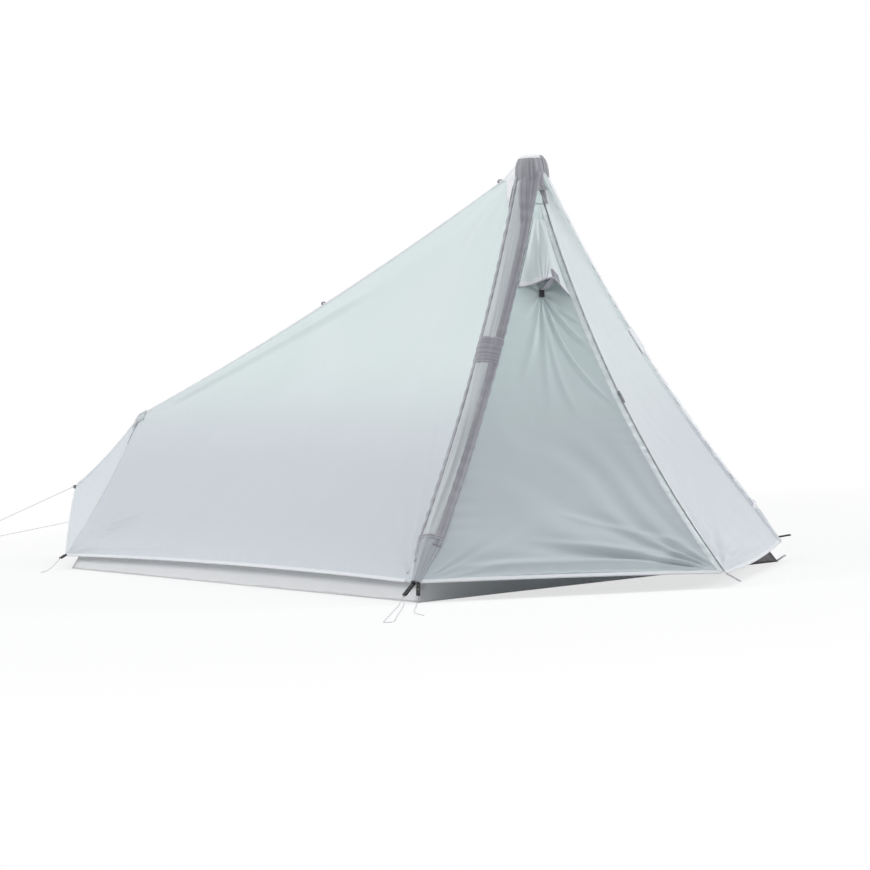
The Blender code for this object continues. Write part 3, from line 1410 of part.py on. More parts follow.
def build_corner_gear():
    """Adjusters and straps at the hem corners, the porch loop and the guyline tabs."""
    near, far = SLEEVES["near"], SLEEVES["far"]
    end = near.arc.point(0.0)
    build_seated("near_head_adjuster", "near_foot_pocket", end - near.wide * POCKET_END_HALF_WIDTH * 0.45,
                 (0.0, -0.72, -0.70), -ACROSS, ADJUSTER, 2)
    build_seated("near_head_strap", "near_foot_pocket", end + near.wide * POCKET_END_HALF_WIDTH * 0.6,
                 (0.0, -0.06, -1.0), -ACROSS, HEAD_STRAP, 1)
    build_seated("far_head_adjuster", "far_foot_pocket", far.arc.point(far.share(ADJUSTER_RISE)),
                 (0.0, 1.0, 0.05), UP, ADJUSTER, 2)
    build_seated("near_foot_adjuster", "near_side_panel", foot_corner(-1) + FORWARD * FOOT_ADJUSTER[1] / 2
                 + UP * 2 * CLOTH, (0.077, -0.135, -0.043), UP, FOOT_ADJUSTER, 1)
    build_seated("far_floor_loop", "floor_tub",
                 tub_corner(1, 1, 0.0) - FORWARD * FLOOR_LOOP[1] * 0.6 + UP * WEBBING,
                 (0.0, 0.039, 0.016), UP, FLOOR_LOOP, 1, DARK_FLOOR)
    build_seated("porch_loop", "far_zip_tape", PORCH_POINT + ACROSS * ZIP_SLOT - UP * CLOTH / 2,
                 (0.064, 0.0, -0.022), UP, PORCH_LOOP, 1, GREY_CLOTH)
    build_beak_tab()
    build_inner_tab()


def beak_tab_end():
    """Far end of the beak tab's upper edge."""
    rest = Rest(bpy.data.objects["far_foot_beak"])
    start = BEAK_TIP + FORWARD * WEBBING + ACROSS * WEBBING / 2 - UP * 3 * BEAK_TAB_HEIGHT
    hit = rest.faces.ray_cast(Vector(start), Vector(UP), 6 * BEAK_TAB_HEIGHT)[0]
    return np.array((BEAK_TIP[0] + BEAK_TAB_INSIDE, 0.0, hit[2] - 2 * GAP))


def build_beak_tab():
    """Webbing tab under the crest at the raised tip, with a hole for the guyline."""
    half = BEAK_TAB_HEIGHT / 2
    whole = BEAK_TAB_LENGTH + BEAK_TAB_INSIDE
    outline = [(x - whole, y) for x, y in round_outline(whole, BEAK_TAB_HEIGHT, 6, 0.002)]
    turns = [math.pi * step / 4 for step in range(8)]
    hole = [(-whole + half * 0.45 * math.cos(turn), half * 0.45 * math.sin(turn)) for turn in turns]
    place = beak_tab_end() - UP * half
    flat_outline("beak_tip_tab", [outline, hole], WEBBING, GREY_CLOTH, (FORWARD, UP, -ACROSS), place)


def inner_tab_root():
    """Point of the inner foot wall that its tab starts from."""
    rest = Rest(bpy.data.objects["inner_foot_wall"])
    start = np.array((FOOT_X - 0.2, -INNER_TAB_SIDE, INNER_TAB_HEIGHT))
    hit, normal, _, _ = rest.faces.ray_cast(Vector(start), Vector(FORWARD), 0.5)
    return np.array(hit) - FORWARD * (GAP + BEAK_TAB_HEIGHT / 2 * abs(normal[2] / normal[0]))


def build_inner_tab():
    """Tab on the inner foot wall that the lower guyline is tied to."""
    outline = round_outline(INNER_TAB_LENGTH, BEAK_TAB_HEIGHT, 6, 0.002)
    outline = [(x - INNER_TAB_LENGTH, y) for x, y in outline]
    flat_outline("inner_foot_tab", [outline], WEBBING, GREY_CLOTH, (FORWARD, UP, -ACROSS), inner_tab_root())


def cord_route(points, count):
    """Points read from a smooth curve through the chosen ones."""
    chosen = [np.array(point) for point in points]
    ends = [2 * chosen[0] - chosen[1]] + chosen + [2 * chosen[-1] - chosen[-2]]
    dense = []
    for before, start, stop, after in zip(ends, ends[1:], ends[2:], ends[3:]):
        for step in range(12):
            t = step / 12
            dense.append(0.5 * (2 * start + (stop - before) * t
                                + (2 * before - 5 * start + 4 * stop - after) * t**2
                                + (3 * start - before - 3 * stop + after) * t**3))
    dense.append(chosen[-1])
    reach = [0.0]
    for first, second in zip(dense, dense[1:]):
        reach.append(reach[-1] + np.linalg.norm(second - first))
    wanted = shares(0.0, reach[-1], count - 1)
    return [np.array([np.interp(value, reach, [point[axis] for point in dense]) for axis in range(3)])
            for value in wanted]


def build_cord(name, points, count, diameter):
    """Tube along a route, never below the ground."""
    curve = bpy.data.curves.new(name, "CURVE")
    curve.dimensions = "3D"
    curve.bevel_depth = diameter / 2
    curve.bevel_resolution = 2
    curve.use_fill_caps = True
    route = cord_route(points, count)
    spline = curve.splines.new("POLY")
    spline.points.add(len(route) - 1)
    length = 0.0
    for target, point in zip(spline.points, route):
        target.co = (point[0], point[1], max(point[2], diameter / 2 + 0.0001), 1.0)
    for first, second in zip(route, route[1:]):
        length += np.linalg.norm(second - first)
    curve.materials.append(finish(name + "_finish", *PALE_CORD))
    made = bpy.data.objects.new(name, curve)
    PARTS.objects.link(made)


def build_lines():
    """Guylines and stake cords."""
    stake = np.array((REAR_STAKE_X, 0.0, 0.0))
    half = BEAK_TAB_HEIGHT / 2
    upper = beak_tab_end() - FORWARD * (BEAK_TAB_LENGTH + BEAK_TAB_INSIDE + half + 2 * GAP) - UP * half
    lower = inner_tab_root() - FORWARD * (INNER_TAB_LENGTH + half + 2 * GAP)
    for name, start, count in (("guyline_upper", upper, 17), ("guyline_lower", lower, 19)):
        share = (start[0] - GUYLINE_END_X) / (start[0] - stake[0])
        end = start * (1 - share) + stake * share
        build_cord(name, [start, start * 0.5 + end * 0.5, end], count, GUYLINE_DIAMETER)
    build_cord("near_head_cord", NEAR_HEAD_ROUTE, 26, CORD_DIAMETER)
    build_cord("near_floor_cord", NEAR_FLOOR_ROUTE, 12, CORD_DIAMETER)
    build_cord("near_foot_cord", NEAR_FOOT_ROUTE, 6, CORD_DIAMETER)


def build():
    """Every piece of the tent."""
    build_fly()
    build_peak_cap()
    build_porch()
    build_sleeves()
    build_poles()
    build_tub()
    build_foot()
    build_inner_walls()
    build_ridge_loops()
    build_corner_gear()
    build_lines()


for leftover in list(bpy.data.objects):
    bpy.data.objects.remove(leftover, do_unlink=True)
PARTS = collection("ultralight_tent")
CUTTERS = collection("cutters")
CAP_CUTTER = cap_cutter()
SLEEVE_CUTTER = add_mesh(
    "sleeve_cutter",
    box_mesh("sleeve_cutter", (PEAK[0] - 0.3, -0.3, CAP_HEM_HEIGHT - GAP),
             (PEAK[0] + 0.3, 0.3, PEAK_HEIGHT + 0.2)),
    None,
    CUTTERS,
)
build()
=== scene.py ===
"""Dressed model of an ultralight one-person tent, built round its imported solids.

Every panel of the fly is one curved cloth with tension folds, felled seams and stitching. The
pole sleeves, the zipped porch door with its vent, the mesh inner tent and the lines are dressed
in the same frame. Metres, +Z up, +X towards the porch, the door on the -Y side.
"""

import json
import logging
import math
from collections.abc import Callable, Sequence
from dataclasses import dataclass, field
from enum import Enum

import bmesh
import bpy
import numpy as np
from mathutils import Matrix, Vector


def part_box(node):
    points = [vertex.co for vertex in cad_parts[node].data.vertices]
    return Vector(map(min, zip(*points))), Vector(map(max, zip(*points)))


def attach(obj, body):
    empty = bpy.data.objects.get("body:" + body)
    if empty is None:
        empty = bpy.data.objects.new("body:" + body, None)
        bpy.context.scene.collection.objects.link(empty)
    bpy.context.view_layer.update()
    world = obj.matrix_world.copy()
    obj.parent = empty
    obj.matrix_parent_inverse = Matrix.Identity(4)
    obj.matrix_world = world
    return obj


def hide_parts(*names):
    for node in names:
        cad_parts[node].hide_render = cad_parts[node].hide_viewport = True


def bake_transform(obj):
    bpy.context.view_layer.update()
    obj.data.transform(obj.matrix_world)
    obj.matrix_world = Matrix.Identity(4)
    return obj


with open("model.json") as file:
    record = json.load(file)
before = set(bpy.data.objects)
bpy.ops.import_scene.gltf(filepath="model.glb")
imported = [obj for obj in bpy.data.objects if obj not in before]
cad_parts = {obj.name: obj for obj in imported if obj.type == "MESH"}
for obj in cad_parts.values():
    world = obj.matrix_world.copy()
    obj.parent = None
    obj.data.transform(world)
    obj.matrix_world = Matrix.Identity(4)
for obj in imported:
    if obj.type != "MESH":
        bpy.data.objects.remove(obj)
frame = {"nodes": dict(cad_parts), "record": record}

LOG = logging.getLogger("tent")
Array = np.ndarray
Edge = Callable[[Array], Array]
Arrays = tuple[Array, Array]
Pair = tuple[float, float]
Triple = tuple[float, float, float]
Bounds = tuple[float, float, float, float]
Piece = bpy.types.Object
Node = bpy.types.Node
Socket = bpy.types.NodeSocket
Tree = bpy.types.NodeTree
TURN = 2 * math.pi
UP = np.array((0.0, 0.0, 1.0))
ACROSS = np.array((0.0, 1.0, 0.0))
FORWARD = np.array((1.0, 0.0, 0.0))
LAMPS = (("left_lamp", (-3.5, -6.5, 4.5), (4.0, 3.0), 258.0), ("right_lamp", (6.0, 5.5, 3.5), (4.0, 3.0), 262.0),
         ("top_lamp", (0.5, -0.5, 7.0), (6.0, 5.0), 168.0))
HEM_WIDTH = 0.011
HEM_OVERHANG = 0.0006
HEM_LIFT = 0.0009
HEM_DEPTH = 0.0026
SEAM_DEPTH = 0.0014
DOOR_BEND = 0.075
SHARP_ANGLE = 28.0


class Side(Enum):
    """Edges of a cloth panel, seen from outside."""

    LEFT = "left"
    RIGHT = "right"
    BOTTOM = "bottom"
    TOP = "top"


# Shapes


def unit(vector: Array) -> Array:
    """Vectors at length one."""
    return vector / np.maximum(np.linalg.norm(vector, axis=-1, keepdims=True), 1e-12)


def ease(value: Array) -> Array:
    """Smooth step from 0 to 1."""
    value = np.clip(value, 0.0, 1.0)
    return value * value * (3 - 2 * value)


def aimed(vectors: Array, towards: Array) -> Array:
    """Vectors, turned round where they point away from a direction."""
    return vectors * np.sign((vectors * towards).sum(axis=-1, keepdims=True))


def both(u: Array | float, v: Array | float) -> Arrays:
    """Two values as arrays of one shape."""
    return np.broadcast_arrays(np.asarray(u, float), np.asarray(v, float))


def run_along(path: Array) -> Array:
    """Distance of each point of a path from its start."""
    return np.concatenate(([0.0], np.cumsum(np.linalg.norm(np.diff(path, axis=0), axis=1))))


def drift(x: Array, y: Array, seed: int, shortest: float, longest: float, count: int = 7) -> Array:
    """Smooth random swell of about -1.5 to 1.5, a sum of waves in all directions, in metres."""
    chance = np.random.default_rng(seed)
    total = np.zeros(np.broadcast(x, y).shape)
    for _ in range(count):
        turn, phase = chance.uniform(0, TURN, 2)
        wave = chance.uniform(shortest, longest)
        total = total + np.sin((x * math.cos(turn) + y * math.sin(turn)) * TURN / wave + phase)
    return total / math.sqrt(count)


@dataclass(frozen=True)
class Arc:
    """Circular arc, read at shares of its run."""

    centre: Array
    along: Array
    side: Array
    radius: float
    half: float

    @classmethod
    def between(cls, start: Array, end: Array, towards: Array, depth: float) -> "Arc":
        """Arc from start to end whose middle stands a depth off the chord, towards a direction."""
        chord = end - start
        length = float(np.linalg.norm(chord))
        along = chord / length
        side = unit(towards - along * (towards @ along))
        radius = (length**2 / 4 + depth**2) / (2 * depth)
        return cls((start + end) / 2 + side * (depth - radius), along, side, radius, math.asin(length / 2 / radius))

    @property
    def run(self) -> float:
        """Length along the arc."""
        return abs(2 * self.half * self.radius)

    @property
    def axis(self) -> Array:
        """Direction the arc turns about."""
        return np.cross(self.along, self.side)

    def _turn(self, share: Array) -> Array:
        """Angle from the middle, with a spare last axis."""
        return self.half * (2 * np.asarray(share, float)[..., None] - 1)

    def points(self, share: Array) -> Array:
        """Points at shares of the run."""
        turn = self._turn(share)
        return self.centre + self.radius * (np.sin(turn) * self.along + np.cos(turn) * self.side)

    def tangents(self, share: Array) -> Array:
        """Directions of travel."""
        turn = self._turn(share)
        return np.cos(turn) * self.along - np.sin(turn) * self.side

    def radials(self, share: Array) -> Array:
        """Directions away from the centre."""
        turn = self._turn(share)
        return np.cos(turn) * self.side + np.sin(turn) * self.along

    def share_at_height(self, height: float) -> float:
        """Share at which the rising arc passes a height."""
        shares = np.linspace(0.0, 1.0, 20001)
        return float(np.interp(height, self.points(shares)[:, 2], shares))


@dataclass(frozen=True)
class Surface:
    """Cloth shape blended between four edges; left and right run up, bottom and top run right."""

    left: Edge
    right: Edge
    bottom: Edge
    top: Edge
    facing: Array
    belly: float = 0.0
    folds: Callable[[Array, Array], Array] | None = None

    def points(self, u: Array, v: Array) -> Array:
        """Points at u across and v up."""
        u, v = both(u, v)
        a, b = u[..., None], v[..., None]
        zero, one = np.zeros_like(u), np.ones_like(u)
        corners = (1 - a) * (1 - b) * self.bottom(zero) + a * (1 - b) * self.bottom(one)
        corners = corners + (1 - a) * b * self.top(zero) + a * b * self.top(one)
        edges = (1 - b) * self.bottom(u) + b * self.top(u) + (1 - a) * self.left(v) + a * self.right(v)
        lift = -self.belly * 16 * u * (1 - u) * v * (1 - v)
        if self.folds:
            lift = lift + self.folds(u, v)
        return edges - corners + unit(self.facing) * lift[..., None]

    def normals(self, u: Array, v: Array, skin: Callable[[Array, Array], Array] | None = None) -> Array:
        """Outward normals of this shape, or of a finer skin over it."""
        skin = skin or self.points
        step = 1e-4
        u, v = both(u, v)
        across = skin(np.minimum(u + step, 1), v) - skin(np.maximum(u - step, 0), v)
        upward = skin(u, np.minimum(v + step, 1)) - skin(u, np.maximum(v - step, 0))
        normals = unit(np.cross(unit(across), unit(upward)))
        return np.where((normals @ unit(self.facing))[..., None] > 0, normals, -normals)

    def width(self, v: Array) -> Array:
        """Straight widths at heights v."""
        return np.linalg.norm(self.points(1.0, v) - self.points(0.0, v), axis=-1)

    def height(self, u: Array) -> Array:
        """Straight heights at u across."""
        return np.linalg.norm(self.points(u, 1.0) - self.points(u, 0.0), axis=-1)


@dataclass(frozen=True)
class Plan:
    """Plan and heights of the fly."""

    length: float = 2.454
    head_width: float = 1.28
    foot_width: float = 0.71
    peak_height: float = 1.2
    peak_set_back: float = 0.233
    porch_depth: float = 0.543
    foot_peak_height: float = 0.482
    foot_peak_overhang: float = 0.069
    beak_reach: float = 0.523
    beak_height: float = 0.247
    beak_tip_width: float = 0.03
    head_hem: float = 0.055
    foot_hem: float = 0.043
    porch_hem: float = 0.04
    ridge_sag: float = 0.027
    hem_bow: float = 0.012
    foot_seam_bow: float = 0.014
    beak_bow: float = 0.012
    zip_bow: float = 0.085
    side_belly: float = 0.04
    porch_belly: float = 0.026
    beak_belly: float = 0.01
    cap_hem: float = 1.115
    porch_top: float = 1.111
    door_top: float = 1.07
    side_kink: float = 0.92
    seam_gap: float = 0.0006
    cad_cloth: float = 0.0018
    tape_reach: float = 0.0152

    @property
    def head_x(self) -> float:
        """Where the head hem is."""
        return self.length / 2

    @property
    def peak(self) -> Array:
        """Peak of the tent."""
        return np.array((self.head_x - self.peak_set_back, 0.0, self.peak_height))

    @property
    def porch_point(self) -> Array:
        """Hem corner in front of the door."""
        return np.array((self.head_x + self.porch_depth, 0.0, self.porch_hem))

    @property
    def foot_peak(self) -> Array:
        """Top of the short pole at the foot."""
        return np.array((-self.head_x - self.foot_peak_overhang, 0.0, self.foot_peak_height))

    @property
    def beak_tip(self) -> Array:
        """Raised tip behind the foot."""
        return np.array((-self.head_x - self.beak_reach, 0.0, self.beak_height))

    def head_corner(self, side: int) -> Array:
        """Hem corner at the head."""
        return np.array((self.head_x, side * self.head_width / 2, self.head_hem))

    def foot_corner(self, side: int) -> Array:
        """Hem corner at the foot."""
        return np.array((-self.head_x, side * self.foot_width / 2, self.foot_hem))


PLAN = Plan()
SIDES = {"near": -1, "far": 1}


@dataclass(frozen=True)
class SleeveLine:
    """Run, section and directions of one pole sleeve."""

    side: int
    bow: float = 0.046
    half_width_top: float = 0.039
    half_depth_top: float = 0.021
    half_width_end: float = 0.014
    half_depth_end: float = 0.0105
    pocket: float = 0.14

    @property
    def faces(self) -> Arrays:
        """Outward directions of the side panel and of the porch panel."""
        corner = PLAN.head_corner(self.side)
        body = unit(np.cross(PLAN.peak - corner, PLAN.foot_corner(self.side) - corner))
        porch = unit(np.cross(PLAN.porch_point - corner, PLAN.peak - corner))
        return aimed(body, ACROSS * self.side), aimed(porch, FORWARD)

    @property
    def arc(self) -> Arc:
        """Centre line, which the pole follows."""
        body, porch = self.faces
        return Arc.between(PLAN.head_corner(self.side), PLAN.peak, -(body + porch), self.bow)

    @property
    def wide(self) -> Array:
        """Direction of the flat width, towards the porch."""
        return aimed(self.arc.axis, FORWARD)

    def halves(self, share: Array) -> Arrays:
        """Half the flat width and half the depth at shares of the run."""
        grow = ease(np.asarray(share) * self.arc.run / self.pocket)
        width = self.half_width_end + (self.half_width_top - self.half_width_end) * grow
        return width, self.half_depth_end + (self.half_depth_top - self.half_depth_end) * grow

    def edge(self, share: Array, towards: int, clearance: Array | float) -> Array:
        """Panel edge beside the sleeve, on its porch side (1) or its foot side (-1)."""
        reach = self.halves(share)[0] + clearance
        return self.arc.points(share) + self.wide * towards * np.asarray(reach)[..., None]


LINES = {name: SleeveLine(side) for name, side in SIDES.items()}


def ridge_line() -> Arc:
    """Ridge from the foot peak up to the peak."""
    return Arc.between(PLAN.foot_peak, PLAN.peak, -UP, PLAN.ridge_sag)


def zip_line() -> Arc:
    """Zip line from the porch point up to the peak."""
    return Arc.between(PLAN.porch_point, PLAN.peak, -FORWARD - UP * 0.6, PLAN.zip_bow)


def side_surface(side: int) -> Surface:
    """Long side panel from the foot seam to the sleeve."""
    sleeve = LINES["near" if side < 0 else "far"]
    front_top = sleeve.arc.share_at_height(PLAN.cap_hem)
    crown = sleeve.edge(np.array(front_top), -1, PLAN.seam_gap)

    def front(v: Array) -> Array:
        """Edge along the sleeve, then along the cap's hem to the peak."""
        low = sleeve.edge(front_top * np.minimum(v / PLAN.side_kink, 1.0), -1, PLAN.seam_gap)
        rest = np.clip((v - PLAN.side_kink) / (1 - PLAN.side_kink), 0.0, 1.0)[..., None]
        return np.where(rest > 0, crown * (1 - rest) + PLAN.peak * rest, low)

    face = sleeve.faces[0]
    seam = Arc.between(PLAN.foot_corner(side), PLAN.foot_peak, face, -PLAN.foot_seam_bow)
    hem = Arc.between(PLAN.foot_corner(side), front(np.array(0.0)), UP, PLAN.hem_bow)
    return Surface(seam.points, front, hem.points, ridge_line().points, face, PLAN.side_belly)


def porch_folds(u: Array, v: Array) -> Array:
    """Main folds that run out of the porch point and fade up the panel."""
    away = np.hypot(1 - u, v * 1.3)
    turn = np.arctan2(v * 1.3, 1 - u + 1e-6)
    fade = ease(away / 0.12) * (1 - ease((away - 0.12) / 0.75)) * (1 - 0.75 * ease((turn - 0.3) / 0.5))
    edge = ease(u / 0.12) * ease((1 - u) / 0.05) * ease(v / 0.05)
    return 0.006 * np.cos(turn * 20) * fade * edge


def porch_surface(side: int) -> Surface:
    """Porch half from the sleeve to the zip line, up to the cap's hem."""
    sleeve, line = LINES["near" if side < 0 else "far"], zip_line()
    hinge_top = sleeve.arc.share_at_height(PLAN.porch_top)
    zip_top = line.share_at_height(PLAN.porch_top)

    def left(v: Array) -> Array:
        """Edge beside the sleeve, which turns to butt against it near the peak."""
        share = hinge_top * np.asarray(v, float)
        butt = ease((sleeve.arc.points(share)[..., 2] - 0.55) / 0.35)
        return sleeve.edge(share, 1, PLAN.seam_gap + PLAN.cad_cloth * butt)

    def right(v: Array) -> Array:
        """Edge on the zip line."""
        return line.points(zip_top * np.asarray(v, float))

    def top(u: Array) -> Array:
        """Straight edge under the cap."""
        share = np.asarray(u, float)[..., None]
        return left(np.array(1.0)) * (1 - share) + right(np.array(1.0)) * share

    hem = Arc.between(left(np.array(0.0)), PLAN.porch_point, -UP if side > 0 else UP, PLAN.hem_bow)
    return Surface(left, right, hem.points, top, sleeve.faces[1], PLAN.porch_belly, porch_folds)


def beak_surface(side: int) -> Surface:
    """Foot beak panel from the foot seam back to the raised tip."""
    corner, top_end = PLAN.foot_corner(side), PLAN.beak_tip
    facing = aimed(unit(np.cross(corner - PLAN.foot_peak, top_end - PLAN.foot_peak)), ACROSS * side)
    body = LINES["near" if side < 0 else "far"].faces[0]
    seam = Arc.between(corner, PLAN.foot_peak, body, -PLAN.foot_seam_bow)
    low_end = top_end + np.array((0.012, side * 0.022, -PLAN.beak_tip_width))
    crest = Arc.between(PLAN.foot_peak, top_end, -UP, PLAN.beak_bow)
    hem = Arc.between(corner, low_end, UP, PLAN.beak_bow)

    def end(v: Array) -> Array:
        """Short edge at the tip."""
        share = np.asarray(v, float)[..., None]
        return low_end * (1 - share) + top_end * share

    return Surface(seam.points, end, hem.points, crest.points, facing, PLAN.beak_belly)


# Folds of the cloth


@dataclass(frozen=True)
class Swell:
    """Broad soft swells that die out towards the panel's edges."""

    height: float
    shortest: float
    longest: float
    seed: int
    margin: float = 0.09

    def at(self, place: "Place") -> Array:
        """Heights off the cloth."""
        hold = ease(place.nearest / self.margin)
        return self.height * drift(place.x, place.y, self.seed, self.shortest, self.longest) * hold


@dataclass(frozen=True)
class Fan:
    """Tension folds that run out of one point of a panel."""

    u: float
    v: float
    height: float
    reach: float
    count: float
    seed: int

    def at(self, place: "Place") -> Array:
        """Heights off the cloth."""
        x, y = place.x - self.u * place.width, place.y - self.v * place.height
        away = np.hypot(x, y)
        turn = np.arctan2(y, x) + 0.1 * drift(x, y, self.seed, 0.25, 0.6, 3)
        fold = np.cos(turn * self.count * 2) + 0.5 * np.cos(turn * self.count * 3.1 + self.seed)
        fade = ease(away / (0.25 * self.reach)) * np.exp(-((away / self.reach) ** 1.5))
        return self.height * fold * fade * ease(place.nearest / 0.012)


@dataclass(frozen=True)
class Pucker:
    """Short folds that stand square to a seam."""

    side: Side
    pitch: float
    height: float
    reach: float
    seed: int

    def at(self, place: "Place") -> Array:
        """Heights off the cloth."""
        away, along = place.from_side(self.side)
        wander = drift(along, away * 0.2, self.seed, self.pitch * 2, self.pitch * 7, 5)
        size = 0.55 + 0.45 * drift(along, 0 * along, self.seed + 9, self.pitch * 4, self.pitch * 12, 4)
        reach = self.reach * (1 + 0.35 * drift(along, 0 * along, self.seed + 5, self.pitch * 3, self.pitch * 9, 4))
        fade = np.exp(-away / np.maximum(reach, 0.2 * self.reach))
        wave = np.sin(along * TURN / self.pitch + 1.4 * wander)
        return self.height * size * wave * fade * ease(place.nearest / 0.006)


@dataclass(frozen=True)
class Crease:
    """One long fold between two points of a panel, given in shares across and up."""

    start: Pair
    end: Pair
    height: float
    width: float
    bend: float = 0.0

    def at(self, place: "Place") -> Array:
        """Heights off the cloth."""
        a = np.array((self.start[0] * place.width, self.start[1] * place.height))
        b = np.array((self.end[0] * place.width, self.end[1] * place.height))
        length = np.linalg.norm(b - a)
        along = (b - a) / length
        x, y = place.x - a[0], place.y - a[1]
        t = (x * along[0] + y * along[1]) / length
        off = -x * along[1] + y * along[0] - self.bend * 4 * t * (1 - t)
        trough = np.exp(-(((off + 1.7 * self.width) / (1.6 * self.width)) ** 2))
        body = np.exp(-((off / self.width) ** 2)) - 0.45 * trough
        return self.height * body * ease(t / 0.18) * ease((1 - t) / 0.3) * ease(place.nearest / 0.01)


@dataclass(frozen=True)
class Place:
    """Points of a panel in metres, for its folds."""

    u: Array
    v: Array
    width: float
    height: float
    spans: Arrays

    @property
    def x(self) -> Array:
        """Distances from the left."""
        return self.u * self.width

    @property
    def y(self) -> Array:
        """Distances from the bottom."""
        return self.v * self.height

    @property
    def nearest(self) -> Array:
        """Distances to the nearest edge."""
        across = np.minimum(self.u, 1 - self.u) * self.spans[0]
        return np.minimum(across, np.minimum(self.v, 1 - self.v) * self.spans[1])

    def from_side(self, side: Side) -> Arrays:
        """Distances from a side and along it."""
        if side in (Side.LEFT, Side.RIGHT):
            share = self.u if side is Side.LEFT else 1 - self.u
            return share * self.spans[0], self.y
        share = self.v if side is Side.BOTTOM else 1 - self.v
        return share * self.spans[1], self.x


@dataclass(frozen=True)
class Cloth:
    """A surface with its folds: the skin that a panel and all that is sewn on it follow."""

    surface: Surface
    folds: tuple = ()
    ends: Bounds = (0.0, 1.0, 0.0, 1.0)

    def skin(self, u: Array, v: Array) -> Array:
        """Points of the outer face."""
        u, v = both(u, v)
        base = self.surface.points(u, v)
        if not self.folds:
            return base
        spans = self.surface.width(v), self.surface.height(u)
        middle = float(self.surface.width(np.array(0.4))), float(self.surface.height(np.array(0.5)))
        place = Place(u, v, middle[0], middle[1], spans)
        lift = sum(fold.at(place) for fold in self.folds)
        return base + self.surface.normals(u, v) * lift[..., None]

    def normals(self, u: Array, v: Array) -> Array:
        """Outward normals with the folds."""
        return self.surface.normals(u, v, self.skin)

    def beside(self, side: Side, away: Array, along: Array) -> Arrays:
        """u and v at a distance from a side, at shares along it."""
        away, along = both(away, along)
        if side in (Side.LEFT, Side.RIGHT):
            share = away / self.surface.width(along)
            return (share if side is Side.LEFT else 1 - share), along
        share = away / self.surface.height(along)
        return along, (share if side is Side.BOTTOM else 1 - share)


# Meshes


def cells(rows: int, columns: int, closed: bool) -> Arrays:
    """Vertex numbers of a grid and its quads; a closed grid's rows run back into their start."""
    index = np.arange(rows * columns).reshape(rows, columns)
    if closed:
        index = np.concatenate((index, index[:, :1]), axis=1)
    quads = np.stack((index[:-1, :-1], index[:-1, 1:], index[1:, 1:], index[1:, :-1]), axis=-1)
    return index, quads.reshape(-1, 4)


def shell(points: Array, normals: Array, thickness: float, closed: bool = False,
          hole: Array | None = None) -> Arrays:
    """Closed shell under a grid of points.

    Args:
        points: Outer grid, rows by columns by 3.
        normals: Outward normals of the grid.
        thickness: How far the inner face lies behind the outer one.
        closed: Whether each row runs back into its start.
        hole: True where a cell of the grid is left open, as one rectangle.

    Returns:
        Vertices and quads.
    """
    rows, columns = points.shape[:2]
    inner = points - normals * thickness
    vertices = np.concatenate((points.reshape(-1, 3), inner.reshape(-1, 3)))
    index, quads = cells(rows, columns, closed)
    count = rows * columns
    rims = [index[0], index[-1][::-1]]
    if hole is not None:
        quads = quads[~hole.ravel()]
        open_rows, open_columns = np.flatnonzero(hole.any(axis=1)), np.flatnonzero(hole.any(axis=0))
        frame_index = index[open_rows[0]:open_rows[-1] + 2, open_columns[0]:open_columns[-1] + 2]
        rims += [frame_index[0][::-1], frame_index[-1], frame_index[::-1, -1], frame_index[:, 0]]
    faces = [quads, quads[:, ::-1] + count]
    if not closed:
        rims += [index[:, -1], index[::-1, 0]]
    for rim in rims:
        faces.append(np.stack((rim[1:], rim[:-1], rim[:-1] + count, rim[1:] + count), axis=-1))
    return vertices, np.concatenate(faces)


def link(name: str, data: bpy.types.ID) -> Piece:
    """New object of some data, in the scene."""
    made = bpy.data.objects.new(name, data)
    bpy.context.scene.collection.objects.link(made)
    return made


def make_mesh(name: str, vertices: Array, faces: Array | Sequence, uv: Array | None = None) -> Piece:
    """Smooth-shaded object at the origin.

    Args:
        name: Piece name.
        vertices: Points in the tent's frame.
        faces: Quads as an array, or faces of any size.
        uv: Cloth coordinates of each vertex in metres, kept in the map "cloth".

    Returns:
        The new object, linked to the scene.
    """
    mesh = bpy.data.meshes.new(name)
    mesh.from_pydata(np.asarray(vertices).tolist(), [], [list(map(int, face)) for face in faces])
    if uv is not None:
        layer = mesh.uv_layers.new(name="cloth")
        corners = np.zeros(len(mesh.loops), np.int32)
        mesh.loops.foreach_get("vertex_index", corners)
        layer.data.foreach_set("uv", np.asarray(uv, np.float32)[corners].ravel())
    mesh.shade_smooth()
    return link(name, mesh)


def face_outwards(made: Piece) -> None:
    """Turns every face out of its closed shell."""
    work = bmesh.new()
    work.from_mesh(made.data)
    bmesh.ops.recalc_face_normals(work, faces=work.faces)
    work.to_mesh(made.data)
    work.free()


def flat_map(points: Array, facing: Array) -> Array:
    """Cloth coordinates of points on a panel, laid flat along its facing."""
    level = unit(np.cross(UP, facing))
    rise = np.cross(unit(facing), level)
    flat = points.reshape(-1, 3)
    return np.stack((flat @ level, flat @ rise), axis=-1)


def settle(made: Piece, body: str, slot: str, finish: "Finish", stands_for: Sequence[str] = ()) -> Piece:
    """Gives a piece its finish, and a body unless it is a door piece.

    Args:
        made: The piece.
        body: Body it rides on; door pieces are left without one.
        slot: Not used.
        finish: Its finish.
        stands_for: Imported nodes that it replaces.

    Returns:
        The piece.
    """
    made.data.materials.clear()
    made.data.materials.append(finish.material())
    if body == "door":
        start, end = door_fold()
        tuple(start)
        tuple(end)
        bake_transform(made)
    else:
        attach(made, body)
    if stands_for:
        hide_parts(*stands_for)
    LOG.info("%s rides on %s", made.name, body)
    return made


